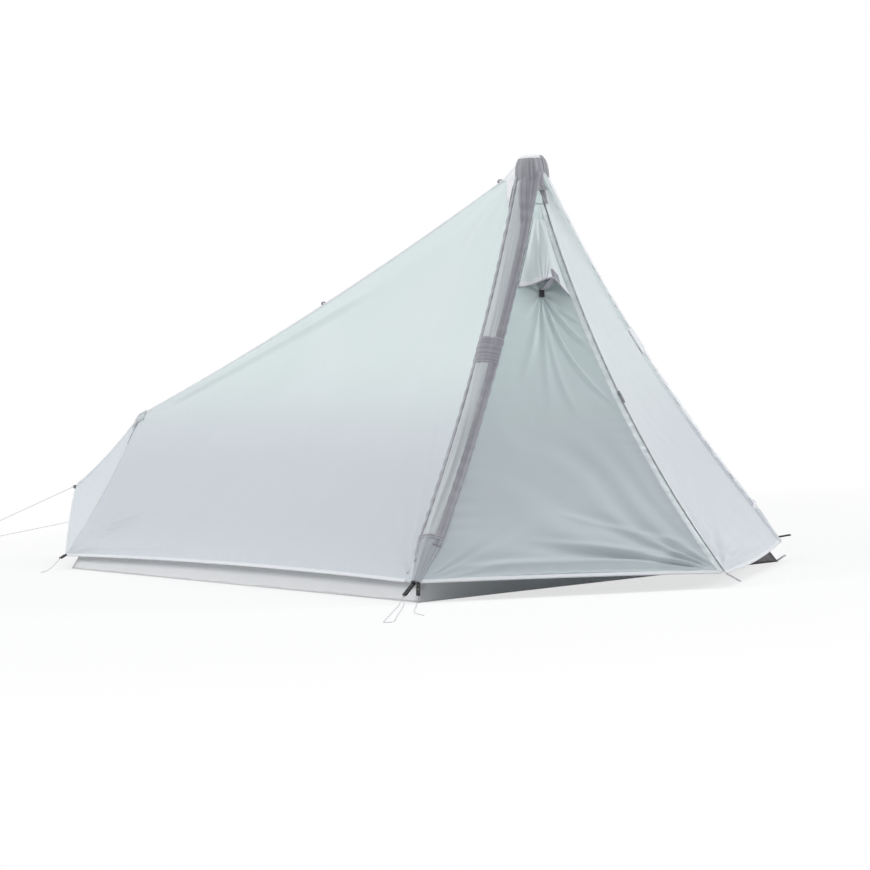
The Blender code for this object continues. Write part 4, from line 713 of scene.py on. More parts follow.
def door_fold() -> Arrays:
    """Start and end of a short strip across the door from its lower corner at the sleeve."""
    surface = porch_surface(-1)
    low, high = surface.points(0.0, 0.0), surface.points(0.0, 0.9)
    across = surface.points(1.0, 0.3) - low
    across = unit(across - unit(high - low) * (across @ unit(high - low)))
    return low, low + across * DOOR_BEND


def declare_sheet(flat: Pair, carriers: Sequence[str]) -> None:
    """Takes the size of a thin closed shell's cut sheet and what holds it, and keeps neither.

    Args:
        flat: Not used.
        carriers: Nodes or pieces that hold it.
    """
    list(carriers)


def cloth_panel(name: str, cloth: Cloth, span: Bounds, insets: Bounds,
                divisions: tuple[int, int], thickness: float = 0.0007, sink: float = 0.0,
                window: Bounds | None = None) -> Piece:
    """Closed thin shell over part of a cloth.

    Args:
        name, cloth: Piece name, and the skin it follows.
        span: Low and high share across, then low and high share up.
        insets: Metres left free at the left, right, bottom and top.
        divisions: Columns and rows.
        thickness, sink: Cloth thickness, and how far its outer face lies under the skin.
        window: Opening, as low and high shares of the panel across, then up.

    Returns:
        The panel's object.
    """
    across = np.linspace(0, 1, divisions[0] + 1)
    up = np.linspace(0, 1, divisions[1] + 1)
    if window:
        across[[np.abs(across - edge).argmin() for edge in window[:2]]] = window[:2]
        up[[np.abs(up - edge).argmin() for edge in window[2:]]] = window[2:]
    u, v = np.meshgrid(span[0] + (span[1] - span[0]) * across, span[2] + (span[3] - span[2]) * up)
    width, height = cloth.surface.width(v), cloth.surface.height(u)
    u_low, u_high = span[0] + insets[0] / width, span[1] - insets[1] / width
    v_low, v_high = span[2] + insets[2] / height, span[3] - insets[3] / height
    share_u, share_v = np.meshgrid(across, up)
    u, v = u_low + (u_high - u_low) * share_u, v_low + (v_high - v_low) * share_v
    normals = cloth.normals(u, v)
    points = cloth.skin(u, v) - normals * sink
    hole = None
    if window:
        inside = (across[:-1] >= window[0]) & (across[:-1] < window[1])
        hole = np.outer((up[:-1] >= window[2]) & (up[:-1] < window[3]), inside)
    vertices, faces = shell(points, normals, thickness, hole=hole)
    if np.dot(np.cross(points[0, 1] - points[0, 0], points[1, 0] - points[0, 0]), cloth.surface.facing) < 0:
        faces = faces[:, ::-1]
    return make_mesh(name, vertices, faces, flat_map(vertices, cloth.surface.facing))


def sheet_panel(name: str, node: str, cloth: Cloth, finish: "Finish", flat: Pair, carriers: Sequence[str],
                divisions: tuple[int, int], span: Bounds = (0, 1, 0, 1), insets: Bounds = (0.0,) * 4,
                body: str = "tent", slot: str = "fly_cloth", **shape: object) -> None:
    """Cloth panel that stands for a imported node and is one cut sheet.

    Args:
        name, cloth, span, insets, divisions, shape: As for cloth_panel.
        node, finish, body, slot: As for settle.
        flat, carriers: As for declare_sheet.
    """
    made = cloth_panel(name, cloth, span, insets, divisions, **shape)
    settle(made, body, slot, finish, (node,))
    declare_sheet(flat, carriers)


def strip(name: str, points: Array, normals: Array, lift: float, thickness: float, seed: int = 0,
          rows: list | None = None) -> Piece:
    """Flat band with pressed edges laid over a grid of points.

    Args:
        name: Piece name.
        points, normals: Skin under it, rows along it by columns across it.
        lift, thickness: Height of its face over the skin, and how deep it reaches from there.
        seed: Seed of the small puckers along it, or 0 for none.
        rows: List that takes the two rows of stitches along its edges.

    Returns:
        The band, its cloth map in metres across and along.
    """
    length, columns = points.shape[:2]
    along, across = run_along(points[:, columns // 2]), run_along(points[length // 2])
    share = 2 * across / across[-1] - 1
    rise = lift * (0.55 + 0.45 * (1 - share**6))[None, :] * np.ones((length, 1))
    if seed:
        rise = rise + lift * 0.35 * drift(along[:, None], 0.2 * across[None, :], seed, 0.012, 0.05)
    if rows is not None:
        face = points + normals * (rise + 0.0001)[..., None]
        rows += [face[:, 1], face[:, -2]]
    vertices, faces = shell(points + normals * rise[..., None], normals, thickness)
    if np.dot(np.cross(points[0, 1] - points[0, 0], points[1, 0] - points[0, 0]), normals[0, 0]) < 0:
        faces = faces[:, ::-1]
    uv = np.stack(np.meshgrid(across, along), axis=-1).reshape(-1, 2)
    return make_mesh(name, vertices, faces, np.concatenate((uv, uv)))


def edge_band(name: str, cloth: Cloth, side: Side, near: Array | float, far: Array | float, along: Array,
              lift: float = HEM_LIFT, thickness: float = HEM_DEPTH, seed: int = 1, rows: list | None = None) -> Piece:
    """Band on a panel that follows one of its sides.

    Args:
        name, lift, thickness, seed, rows: As for strip.
        cloth, side: Panel it is sewn on, and the side that it follows.
        near, far: Distances of its two edges from that side, or columns of them.
        along: Shares along the side.

    Returns:
        The band.
    """
    run = np.repeat(along[:, None], 7, axis=1)
    away = near + (far - near) * np.linspace(0, 1, 7)[None, :]
    u, v = cloth.beside(side, np.broadcast_to(away, run.shape), run)
    return strip(name, cloth.skin(u, v), cloth.normals(u, v), lift, thickness, seed, rows)


def hem_band(name: str, cloth: Cloth, along: Array, seed: int, rows: list, sag: Array | float = 0.0) -> Piece:
    """Folded hem on a panel's bottom edge, at shares along it."""
    return edge_band(name, cloth, Side.BOTTOM, -HEM_OVERHANG - sag, HEM_WIDTH - sag, along, seed=seed, rows=rows)


def seam_band(name: str, first: Cloth, second: Cloth, side: Side, half: float, along: Array, seed: int,
              rows: list) -> Piece:
    """Felled seam that straddles the side that two panels share.

    Args:
        name, seed, rows: As for strip.
        first, second, side: The panels and the side they share.
        half: Half the seam's width.
        along: Shares along the side.

    Returns:
        The band.
    """
    reach = np.linspace(half, 0.0, 4)
    points, normals = [], []
    for cloth in (first, second):
        away, run = np.meshgrid(reach, along)
        u, v = cloth.beside(side, away, run)
        points.append(cloth.skin(u, v))
        normals.append(cloth.normals(u, v))
    middle = unit(normals[0][:, -1:] + normals[1][:, -1:])
    points = np.concatenate((points[0][:, :-1], points[0][:, -1:], points[1][:, -2::-1]), axis=1)
    normals = np.concatenate((normals[0][:, :-1], middle, normals[1][:, -2::-1]), axis=1)
    return strip(name, points, normals, HEM_LIFT, SEAM_DEPTH, seed, rows)


def rounded_copy(name: str, node: str, finish: "Finish", body: str = "tent", slot: str = "grey_cloth",
                 round_by: float = 0.0004, stretch: Triple = (1.0, 1.0, 1.0)) -> Piece:
    """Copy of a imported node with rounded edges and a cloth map, which stands for it.

    Args:
        name, finish, body, slot: As for settle.
        node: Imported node.
        round_by: Radius of its edges.
        stretch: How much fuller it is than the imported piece.

    Returns:
        The new object.
    """
    work = bmesh.new()
    work.from_mesh(frame["nodes"][node].data)
    bmesh.ops.remove_doubles(work, verts=work.verts, dist=1e-5)
    bmesh.ops.dissolve_limit(work, angle_limit=math.radians(2.0), verts=work.verts, edges=work.edges)
    sharp = [edge for edge in work.edges if edge.calc_face_angle(0.0) > math.radians(SHARP_ANGLE)]
    bmesh.ops.bevel(work, geom=sharp, offset=round_by, segments=2, profile=0.5, affect="EDGES", clamp_overlap=True)
    bmesh.ops.triangulate(work, faces=[face for face in work.faces if len(face.verts) > 4])
    vertices = np.array([tuple(vertex.co) for vertex in work.verts])
    middle = (vertices.max(axis=0) + vertices.min(axis=0)) / 2
    vertices = middle + (vertices - middle) * stretch
    faces = [[vertex.index for vertex in face.verts] for face in work.faces]
    work.free()
    axes = np.linalg.svd(vertices - vertices.mean(axis=0), full_matrices=False)[2]
    made = make_mesh(name, vertices, faces, np.stack((vertices @ axes[1], vertices @ axes[0]), axis=-1))
    return settle(made, body, slot, finish, (node,))


def tube(name: str, path: Array, radius: Array | float, sides: int = 10, caps: bool = True) -> Piece:
    """Round tube along a path, its cloth map in metres around and along.

    Args:
        name, path: Piece name and centre points.
        radius: One radius, or one for each point.
        sides, caps: Facets around, and whether the ends are closed.

    Returns:
        The tube's object.
    """
    travel = unit(np.gradient(path, axis=0))
    first = unit(np.cross(travel[0], UP if abs(travel[0][2]) < 0.9 else FORWARD))
    frames = []
    for step in travel:
        first = unit(first - step * (first @ step))
        frames.append((first, np.cross(step, first)))
    turns = np.linspace(0, TURN, sides, endpoint=False)
    radius = np.broadcast_to(radius, len(path))
    ring = np.stack([np.outer(np.cos(turns), a) + np.outer(np.sin(turns), b) for a, b in frames])
    points = path[:, None] + ring * radius[:, None, None]
    index, quads = cells(len(path), sides, True)
    faces = quads.tolist()
    if caps:
        faces += [index[0, -2::-1].tolist(), index[-1, :-1].tolist()]
    run = run_along(path)
    around = np.minimum(turns, TURN - turns) * radius[0]
    uv = np.stack(np.meshgrid(around, run), axis=-1).reshape(-1, 2)
    return make_mesh(name, points.reshape(-1, 3), faces, uv)


# Finishes


class Wiring:
    """Short way to build a node tree."""

    def __init__(self, tree: Tree) -> None:
        """Keeps the tree."""
        self.tree = tree

    def add(self, kind: str, inputs: dict | None = None, **settings: object) -> Node:
        """New node.

        Args:
            kind: Node type.
            inputs: Socket name or index to a value, or to a socket that feeds it.
            settings: The node's own properties.

        Returns:
            The node.
        """
        node = self.tree.nodes.new(kind)
        for key, value in settings.items():
            setattr(node, key, value)
        self.feed(node, inputs or {})
        return node

    def out(self, kind: str, inputs: dict | None = None, **settings: object) -> Socket:
        """First output of a new node."""
        return self.add(kind, inputs, **settings).outputs[0]

    def feed(self, node: Node, inputs: dict) -> None:
        """Gives a node's inputs their values, or links sockets to them."""
        for key, value in inputs.items():
            if isinstance(value, Socket):
                self.tree.links.new(value, node.inputs[key])
            else:
                node.inputs[key].default_value = value

    def place(self) -> Socket:
        """Place on the piece in metres."""
        return self.add("ShaderNodeTexCoord").outputs["Object"]

    def cloth(self) -> tuple[Socket, Socket]:
        """Cloth coordinates across and along."""
        held = self.out("ShaderNodeUVMap", uv_map="cloth")
        return tuple(self.add("ShaderNodeSeparateXYZ", {0: held}).outputs[:2])

    def end(self, output: str, share: object, first: Node, second: Node) -> None:
        """Leads the mix of two shaders into the output."""
        mix = self.out("ShaderNodeMixShader", {0: share, 1: first.outputs[0], 2: second.outputs[0]})
        self.tree.links.new(mix, self.tree.nodes[output].inputs[0])

    def wave(self, value: object, length: float) -> Socket:
        """Sine of a length."""
        return self.sums("SINE", self.sums("MULTIPLY", value, TURN / length))

    def only_seen(self) -> Socket:
        """1 for rays that show a thing in the picture, 0 for those that light it."""
        path = self.add("ShaderNodeLightPath").outputs
        seen = self.sums("MAXIMUM", path["Is Camera Ray"], path["Is Glossy Ray"])
        return self.sums("MAXIMUM", seen, path["Is Transmission Ray"])

    def sums(self, operation: str, *values: object) -> Socket:
        """Result of a Math node."""
        return self.out("ShaderNodeMath", dict(enumerate(values)), operation=operation)

    def blend(self, share: object, first: object, second: object) -> Socket:
        """Mix of two colours."""
        return self.add("ShaderNodeMix", {0: share, 6: first, 7: second}, data_type="RGBA").outputs[2]

    def span(self, value: object, low: float, high: float, out_low: float, out_high: float) -> Socket:
        """Value moved from one range to another."""
        return self.out("ShaderNodeMapRange", {0: value, 1: low, 2: high, 3: out_low, 4: out_high})

    def noise(self, place: object, scale: float, detail: float = 2.0, warp: float = 0.0) -> Socket:
        """Noise at a place."""
        inputs = {"Vector": place, "Scale": scale, "Detail": detail, "Distortion": warp}
        return self.add("ShaderNodeTexNoise", inputs).outputs["Fac"]

    def stripes(self, value: object, pitch: float, share: float) -> Socket:
        """1 on thin lines a pitch apart, 0 between them."""
        away = self.sums("PINGPONG", value, pitch / 2)
        return self.span(away, 0.0, pitch * share / 2, 1.0, 0.0)


def rgba(colour: Triple, share: float = 1.0, lift: float = 0.0) -> tuple:
    """Colour with full alpha, made paler or darker by a share and a lift."""
    return (*(min(value * share + lift, 1.0) for value in colour), 1.0)


@dataclass(frozen=True)
class Finish:
    """Base of all finishes: a name, a main colour and a roughness."""

    name: str
    colour: Triple
    roughness: float = 0.5

    def material(self) -> bpy.types.Material:
        """The finish's material, made once."""
        made = bpy.data.materials.get(self.name + "_finish")
        if made is None:
            made = bpy.data.materials.new(self.name + "_finish")
            made.use_nodes = True
            wire = Wiring(made.node_tree)
            shader = made.node_tree.nodes["Principled BSDF"]
            self.put(wire, shader, Base_Color=rgba(self.colour), Roughness=self.roughness)
            self.wire(wire, shader)
        return made

    def wire(self, wire: Wiring, shader: Node) -> None:
        """Adds the finish's own nodes."""

    @staticmethod
    def relief(wire: Wiring, shader: Node, height: Socket, depth: float, strength: float = 1.0) -> None:
        """Bump of a depth in metres from a height of 0 to 1."""
        inputs = {"Strength": strength, "Distance": depth, "Height": height}
        Finish.put(wire, shader, Normal=wire.out("ShaderNodeBump", inputs))

    @staticmethod
    def put(wire: Wiring, shader: Node, **inputs: Socket | float) -> None:
        """Feeds the shader's inputs, named with _ for a space."""
        wire.feed(shader, {name.replace("_", " "): value for name, value in inputs.items()})


@dataclass(frozen=True)
class CoatedCloth(Finish):
    """Thin coated ripstop: a fine grid of thicker threads, soft crinkles and light that comes through."""

    tint: Triple = (0.8, 0.85, 0.84)
    through: float = 0.22
    grid: float = 0.005
    thread: float = 0.0009
    crinkle: float = 0.0006
    sheen: float = 0.12
    # Colour of the painted shade lower down on the cloth, from 0.68 m to 0.3 m high, easing off a little near the hem.
    painted_low_shade: Triple | None = None
    # Share of painted shade in dark streaks along the cloth, for the shade in its folds and shadows seen through it.
    shade_streaks: float = 0.0

    def wire(self, wire: Wiring, shader: Node) -> None:
        """Ripstop grid, weave, crinkles, translucency, painted shade lower down and painted streaks of shade."""
        place = wire.place()
        across, along = wire.cloth()
        lines = wire.sums("MAXIMUM", wire.stripes(across, self.grid, 0.16), wire.stripes(along, self.grid, 0.16))
        weave = wire.sums("MULTIPLY", wire.wave(across, self.thread), wire.wave(along, self.thread))
        cloud = wire.noise(place, 2.2, 3.0, 0.4)
        crinkle = wire.noise(place, 26.0, 4.0, 1.6)
        colour = wire.blend(wire.span(cloud, 0.35, 0.68, 0.0, 1.0), rgba(self.colour), rgba(self.tint))
        # Painted shade: the cloth darkens from 0.68 m down to 0.3 m high, easing off a little below 0.2 m.
        if self.painted_low_shade:
            height = wire.add("ShaderNodeSeparateXYZ", {0: place}).outputs[2]
            shade_ramp, lift = (wire.out("ShaderNodeMapRange", {0: height, 1: high, 2: low, 3: 0.0, 4: most},
                                   interpolation_type="SMOOTHSTEP")
                          for high, low, most in ((0.68, 0.3, 1.0), (0.2, 0.03, 0.22)))
            colour = wire.blend(wire.sums("SUBTRACT", shade_ramp, lift), colour, rgba(self.painted_low_shade))
        # Painted shade: dark streaks along the cloth stand for the shade in its folds and shadows seen through it.
        if self.shade_streaks:
            stretched = {0: wire.sums("MULTIPLY", across, 190.0), 1: wire.sums("MULTIPLY", along, 2.4)}
            shade_streak = wire.noise(wire.out("ShaderNodeCombineXYZ", stretched), 1.0, 3.0, 0.3)
            colour = wire.blend(wire.span(shade_streak, 0.42, 0.66, 0.0, self.shade_streaks), colour, rgba(self.colour, 0.62))
        colour = wire.blend(wire.sums("MULTIPLY", lines, 0.55), colour, rgba(self.tint, 0.93))
        height = wire.sums("MULTIPLY_ADD", crinkle, 1.0, wire.sums("MULTIPLY", lines, 0.1))
        height = wire.sums("MULTIPLY_ADD", weave, 0.015, height)
        self.relief(wire, shader, height, self.crinkle, 0.6)
        rough = wire.span(crinkle, 0.3, 0.7, self.roughness - 0.05, self.roughness + 0.07)
        self.put(wire, shader, Base_Color=colour, Roughness=rough, Sheen_Weight=self.sheen, Sheen_Roughness=0.4,
                 Specular_IOR_Level=0.35)
        if self.through:
            behind = wire.add("ShaderNodeBsdfTranslucent", {"Color": colour})
            wire.end("Material Output", self.through, shader, behind)


@dataclass(frozen=True)
class Webbing(Finish):
    """Woven tape: ribs across it, a plain weave and faint wear."""

    rib: float = 0.0016

    def wire(self, wire: Wiring, shader: Node) -> None:
        """Ribs, threads, colour drift and a painted highlight on the raised threads."""
        place = wire.place()
        across, along = wire.cloth()
        crossed = wire.sums("MULTIPLY", wire.wave(along, self.rib), wire.wave(across, self.rib / 2))
        weave = wire.span(crossed, -1.0, 1.0, 0.0, 1.0)
        wear = wire.noise(place, 38.0, 4.0, 0.3)
        pale = rgba(self.colour, 1.15)
        dark = rgba(self.colour, 0.9)
        colour = wire.blend(wire.span(wear, 0.35, 0.75, 0.0, 1.0), dark, pale)
        # Painted highlight: paler on the raised threads of the weave.
        colour = wire.blend(wire.sums("MULTIPLY", weave, 0.25), colour, pale)
        self.relief(wire, shader, wire.sums("MULTIPLY_ADD", wear, 0.4, weave), 0.0003)
        rough = wire.span(wear, 0.3, 0.8, self.roughness - 0.06, self.roughness + 0.1)
        self.put(wire, shader, Base_Color=colour, Roughness=rough, Sheen_Weight=0.2, Sheen_Roughness=0.5)


@dataclass(frozen=True)
class Netting(Finish):
    """Insect mesh: thin threads with open holes between them."""

    pitch: float = 0.0016

    def wire(self, wire: Wiring, shader: Node) -> None:
        """Threads both ways, the rest see-through."""
        place = wire.place()
        across, along = wire.cloth()
        skew = wire.sums("MULTIPLY_ADD", along, 0.5, across)
        lean = wire.sums("MULTIPLY_ADD", along, -0.5, across)
        threads = wire.sums("MAXIMUM", wire.stripes(skew, self.pitch, 0.34), wire.stripes(lean, self.pitch, 0.34))
        wear = wire.noise(place, 9.0, 3.0)
        pale = rgba(self.colour, 1.2)
        self.put(wire, shader, Base_Color=wire.blend(wear, rgba(self.colour), pale),
                 Alpha=wire.span(threads, 0.0, 1.0, 0.1, 0.95))


@dataclass(frozen=True)
class Moulded(Finish):
    """Moulded plastic with a fine satin grain and scuffs."""

    def wire(self, wire: Wiring, shader: Node) -> None:
        """Grain and scuffs."""
        place = wire.place()
        grain = wire.noise(place, 900.0, 2.0)
        scuff = wire.noise(place, 140.0, 5.0, 2.0)
        pale = rgba(self.colour, 1.8, 0.006)
        colour = wire.blend(wire.span(scuff, 0.58, 0.78, 0.0, 0.7), rgba(self.colour), pale)
        self.relief(wire, shader, grain, 0.0001, 0.5)
        rough = wire.span(scuff, 0.35, 0.75, self.roughness - 0.06, self.roughness + 0.18)
        self.put(wire, shader, Base_Color=colour, Roughness=rough, Specular_IOR_Level=0.3)


@dataclass(frozen=True)
class Foam(Finish):
    """Closed-cell grip foam."""

    def wire(self, wire: Wiring, shader: Node) -> None:
        """Small cells and handling wear."""
        place = wire.place()
        cells = wire.add("ShaderNodeTexVoronoi", {"Vector": place, "Scale": 1100.0}).outputs["Distance"]
        wear = wire.noise(place, 30.0, 3.0)
        pale = rgba(self.colour, 1.8)
        self.relief(wire, shader, cells, 0.0003, 0.8)
        self.put(wire, shader, Base_Color=wire.blend(wear, rgba(self.colour), pale),
                 Roughness=wire.span(wear, 0.3, 0.7, self.roughness - 0.1, self.roughness))


@dataclass(frozen=True)
class Anodised(Finish):
    """Drawn aluminium tube with a satin anodised skin."""

    def wire(self, wire: Wiring, shader: Node) -> None:
        """Draw lines along the tube and small scratches."""
        place = wire.place()
        drawn = wire.out("ShaderNodeMapping", {"Vector": place, "Scale": (900.0, 900.0, 12.0)})
        lines = wire.noise(drawn, 1.0, 2.0)
        marks = wire.noise(place, 60.0, 5.0, 1.0)
        dark = rgba(self.colour, 0.82)
        self.relief(wire, shader, lines, 0.00008, 0.4)
        colour = wire.blend(wire.span(marks, 0.3, 0.7, 0.0, 1.0), dark, rgba(self.colour))
        worn = wire.sums("MULTIPLY_ADD", lines, 0.5, marks)
        rough = wire.span(worn, 0.4, 1.1, self.roughness - 0.07, self.roughness + 0.12)
        self.put(wire, shader, Base_Color=colour, Roughness=rough, Metallic=1.0)


@dataclass(frozen=True)
class Braid(Finish):
    """Braided cord with crossed strands and a fleck."""

    fleck: Triple = (0.25, 0.25, 0.27)
    strand: float = 0.0016

    def wire(self, wire: Wiring, shader: Node) -> None:
        """Crossed strands along the cord, with painted shade in the grooves between them."""
        place = wire.place()
        across, along = wire.cloth()
        lead, back = wire.sums("ADD", across, along), wire.sums("SUBTRACT", across, along)
        crossed = wire.sums("MULTIPLY", wire.wave(lead, self.strand), wire.wave(back, self.strand))
        braid = wire.span(crossed, -1.0, 1.0, 0.0, 1.0)
        fleck = wire.stripes(lead, self.strand * 6, 0.12)
        soil = wire.noise(place, 60.0, 3.0)
        dark = rgba(self.colour, 0.85)
        # Painted shade: darker in the grooves between the strands.
        colour = wire.blend(braid, dark, rgba(self.colour))
        colour = wire.blend(wire.sums("MULTIPLY", fleck, 0.6), colour, rgba(self.fleck))
        colour = wire.blend(wire.span(soil, 0.5, 0.8, 0.0, 0.4), colour, dark)
        self.relief(wire, shader, braid, 0.0003)
        rough = wire.span(braid, 0.0, 1.0, self.roughness, self.roughness - 0.15)
        self.put(wire, shader, Base_Color=colour, Roughness=rough, Sheen_Weight=0.2)


# One fly fabric in copies per panel, each with painted shade lower down; the shade is weaker on the beak and the far
# porch.
FLY = CoatedCloth("fly_cloth", (0.83, 0.9, 0.895), 0.44, tint=(0.8, 0.885, 0.87), painted_low_shade=(0.685, 0.71, 0.755))
PORCH_CLOTH = CoatedCloth("porch_cloth", (0.82, 0.87, 0.88), 0.44, tint=(0.8, 0.86, 0.865), painted_low_shade=(0.75, 0.78, 0.815))
BEAK_CLOTH = CoatedCloth("beak_cloth", (0.81, 0.87, 0.875), 0.44, tint=(0.79, 0.86, 0.85), painted_low_shade=(0.77, 0.81, 0.84))
# Door copy of the fly fabric, darker all over as painted shade.
DOOR_SHADED_CLOTH = CoatedCloth("door_shaded_cloth", (0.67, 0.765, 0.765), 0.42, tint=(0.63, 0.735, 0.73), through=0.16,
                         painted_low_shade=(0.585, 0.64, 0.665))
HOOD_CLOTH = CoatedCloth("hood_cloth", (0.78, 0.845, 0.85), 0.42, tint=(0.75, 0.82, 0.82), through=0.16)
HEM_CLOTH = CoatedCloth("hem_cloth", (0.82, 0.84, 0.87), 0.5, tint=(0.86, 0.88, 0.9), through=0.1, crinkle=0.0004)
SEAM_CLOTH = CoatedCloth("seam_cloth", (0.72, 0.74, 0.77), 0.5, tint=(0.75, 0.78, 0.79), through=0.06, crinkle=0.0004)
SLEEVE_CLOTH = CoatedCloth("sleeve_cloth", (0.56, 0.6, 0.615), 0.46, tint=(0.63, 0.67, 0.68), through=0.1,
                           crinkle=0.0008, shade_streaks=0.55)
GREY_CLOTH = CoatedCloth("grey_cloth", (0.3, 0.302, 0.33), 0.55, tint=(0.36, 0.362, 0.392), through=0.0, grid=0.004,
                         shade_streaks=0.75)
POCKET_CLOTH = CoatedCloth("pocket_cloth", (0.4, 0.415, 0.455), 0.5, tint=(0.46, 0.48, 0.52), through=0.05,
                           shade_streaks=0.6)
RIM_CLOTH = CoatedCloth("rim_cloth", (0.88, 0.895, 0.905), 0.4, tint=(0.9, 0.91, 0.92), through=0.12)
CAP_CLOTH = CoatedCloth("cap_cloth", (0.305, 0.308, 0.336), 0.55, tint=(0.37, 0.373, 0.402), through=0.0, shade_streaks=0.8)
TUB_CLOTH = CoatedCloth("tub_wall_cloth", (0.92, 0.925, 0.93), 0.5, tint=(0.94, 0.945, 0.95), through=0.1)
GROUND_CLOTH = CoatedCloth("floor_cloth", (0.055, 0.05, 0.056), 0.5, tint=(0.08, 0.073, 0.08), through=0.0, sheen=0.05)
GREY_TAPE = Webbing("grey_tape", (0.38, 0.385, 0.42), 0.6)
PALE_TAPE = Webbing("pale_tape", (0.66, 0.68, 0.7), 0.6)
DARK_TAPE = Webbing("dark_tape", (0.016, 0.016, 0.018), 0.6)
ZIP_TAPE = Webbing("zip_tape", (0.78, 0.84, 0.85), 0.55)
STITCH = Webbing("stitch_thread", (0.78, 0.8, 0.82), 0.5)
NET = Netting("inner_net", (0.3, 0.31, 0.33), 0.7)
ZIP_COIL = Moulded("zip_coil", (0.16, 0.165, 0.17), 0.45)
PLASTIC = Moulded("black_plastic", (0.007, 0.007, 0.008), 0.42)
SLIDER = Moulded("slider_metal", (0.22, 0.22, 0.23), 0.35)
GRIP = Foam("grip_foam", (0.022, 0.022, 0.024), 0.9)
ALLOY = Anodised("alloy", (0.58, 0.59, 0.62), 0.32)
CORD = Braid("line_cord", (0.8, 0.8, 0.82), 0.75, fleck=(0.55, 0.55, 0.58))


# Studio


@dataclass
class Studio:
    """Camera at the photograph's angle, soft lamps, a white surround and a floor that keeps the shadow."""

    camera_at: Triple = (9.85, -6.499, 0.857)
    yaw: float = 145.39
    pitch: float = -2.22
    roll: float = -3.3
    focal_pixels: float = 3849.0
    frame_pixels: float = 870.0
    sensor: float = 36.0
    aim: Triple = (0.1, 0.0, 0.45)
    floor_half: float = 30.0
    surround: float = 0.43

    def camera(self) -> None:
        """Places the camera."""
        yaw, pitch, roll = (math.radians(value) for value in (self.yaw, self.pitch, self.roll))
        ahead = np.array((math.cos(yaw) * math.cos(pitch), math.sin(yaw) * math.cos(pitch), math.sin(pitch)))
        level = unit(np.cross(ahead, UP))
        above = np.cross(level, ahead)
        right = level * math.cos(roll) + above * math.sin(roll)
        top = -level * math.sin(roll) + above * math.cos(roll)
        lens = bpy.data.cameras.new("camera")
        lens.sensor_width = self.sensor
        lens.lens = self.focal_pixels / self.frame_pixels * self.sensor
        lens.clip_end = 200.0
        made = link("camera", lens)
        turned = Matrix(np.stack((right, top, -ahead), axis=1).tolist()).to_4x4()
        made.matrix_world = Matrix.Translation(self.camera_at) @ turned
        bpy.context.scene.camera = made

    def lamp(self, name: str, place: Triple, size: Pair, power: float) -> None:
        """Soft rectangular lamp at a place, turned to the tent, in metres and watts."""
        light = bpy.data.lights.new(name, "AREA")
        light.shape = "RECTANGLE"
        light.size, light.size_y = size
        light.energy = power
        made = link(name, light)
        made.location = place
        made.rotation_euler = (Vector(self.aim) - Vector(place)).to_track_quat("-Z", "Y").to_euler()

    def light(self) -> None:
        """Lamps and the world."""
        for name, place, size, power in LAMPS:
            self.lamp(name, place, size, power)
        world = bpy.data.worlds.new("surround")
        bpy.context.scene.world = world
        world.use_nodes = True
        wire = Wiring(world.node_tree)
        sky = world.node_tree.nodes["Background"]
        sky.inputs[0].default_value = (0.93, 0.96, 1.0, 1.0)
        sky.inputs[1].default_value = self.surround
        white = wire.add("ShaderNodeBackground", {0: (1.0, 1.0, 1.0, 1.0), 1: 1.0})
        wire.end("World Output", wire.only_seen(), sky, white)

    def floor(self) -> None:
        """Pale floor that fades into the surround and keeps the soft shadow."""
        half = self.floor_half
        corners = [(-half, -half, 0.0), (half, -half, 0.0), (half, half, 0.0), (-half, half, 0.0)]
        made = make_mesh("floor", np.array(corners), [[0, 1, 2, 3]])
        finish = bpy.data.materials.new("studio_floor")
        finish.use_nodes = True
        wire = Wiring(finish.node_tree)
        shader = finish.node_tree.nodes["Principled BSDF"]
        Finish.put(wire, shader, Base_Color=(0.93, 0.93, 0.93, 1.0), Roughness=0.9, Specular_IOR_Level=0.0)
        place = wire.place()
        away = wire.add("ShaderNodeVectorMath", {0: place}, operation="LENGTH").outputs["Value"]
        share = wire.sums("MULTIPLY", wire.only_seen(), wire.span(away, 1.6, 3.6, 0.7, 1.0))
        glow = wire.add("ShaderNodeEmission", {0: (1.0, 1.0, 1.0, 1.0), 1: 1.0})
        wire.end("Material Output", share, shader, glow)
        made.data.materials.append(finish)

    def build(self) -> None:
        """Camera, lamps, surround and floor."""
        self.camera()
        self.light()
        self.floor()
        bpy.context.scene.view_settings.view_transform = "Standard"


# Lines


def smooth_route(chosen: Sequence[tuple], spacing: float) -> Array:
    """Evenly spaced points on a smooth curve through the chosen ones."""
    points = np.array(chosen, float)
    ends = np.concatenate(([2 * points[0] - points[1]], points, [2 * points[-1] - points[-2]]))
    t = np.arange(24)[:, None] / 24
    dense = []
    for before, start, stop, after in zip(ends, ends[1:], ends[2:], ends[3:]):
        dense.append(0.5 * (2 * start + (stop - before) * t + (2 * before - 5 * start + 4 * stop - after) * t**2
                            + (3 * start - before - 3 * stop + after) * t**3))
    dense = np.concatenate(dense + [points[-1:]])
    run = run_along(dense)
    wanted = np.linspace(0.0, run[-1], max(8, int(run[-1] / spacing)) + 1)
    return np.stack([np.interp(wanted, run, dense[:, axis]) for axis in range(3)], axis=1)


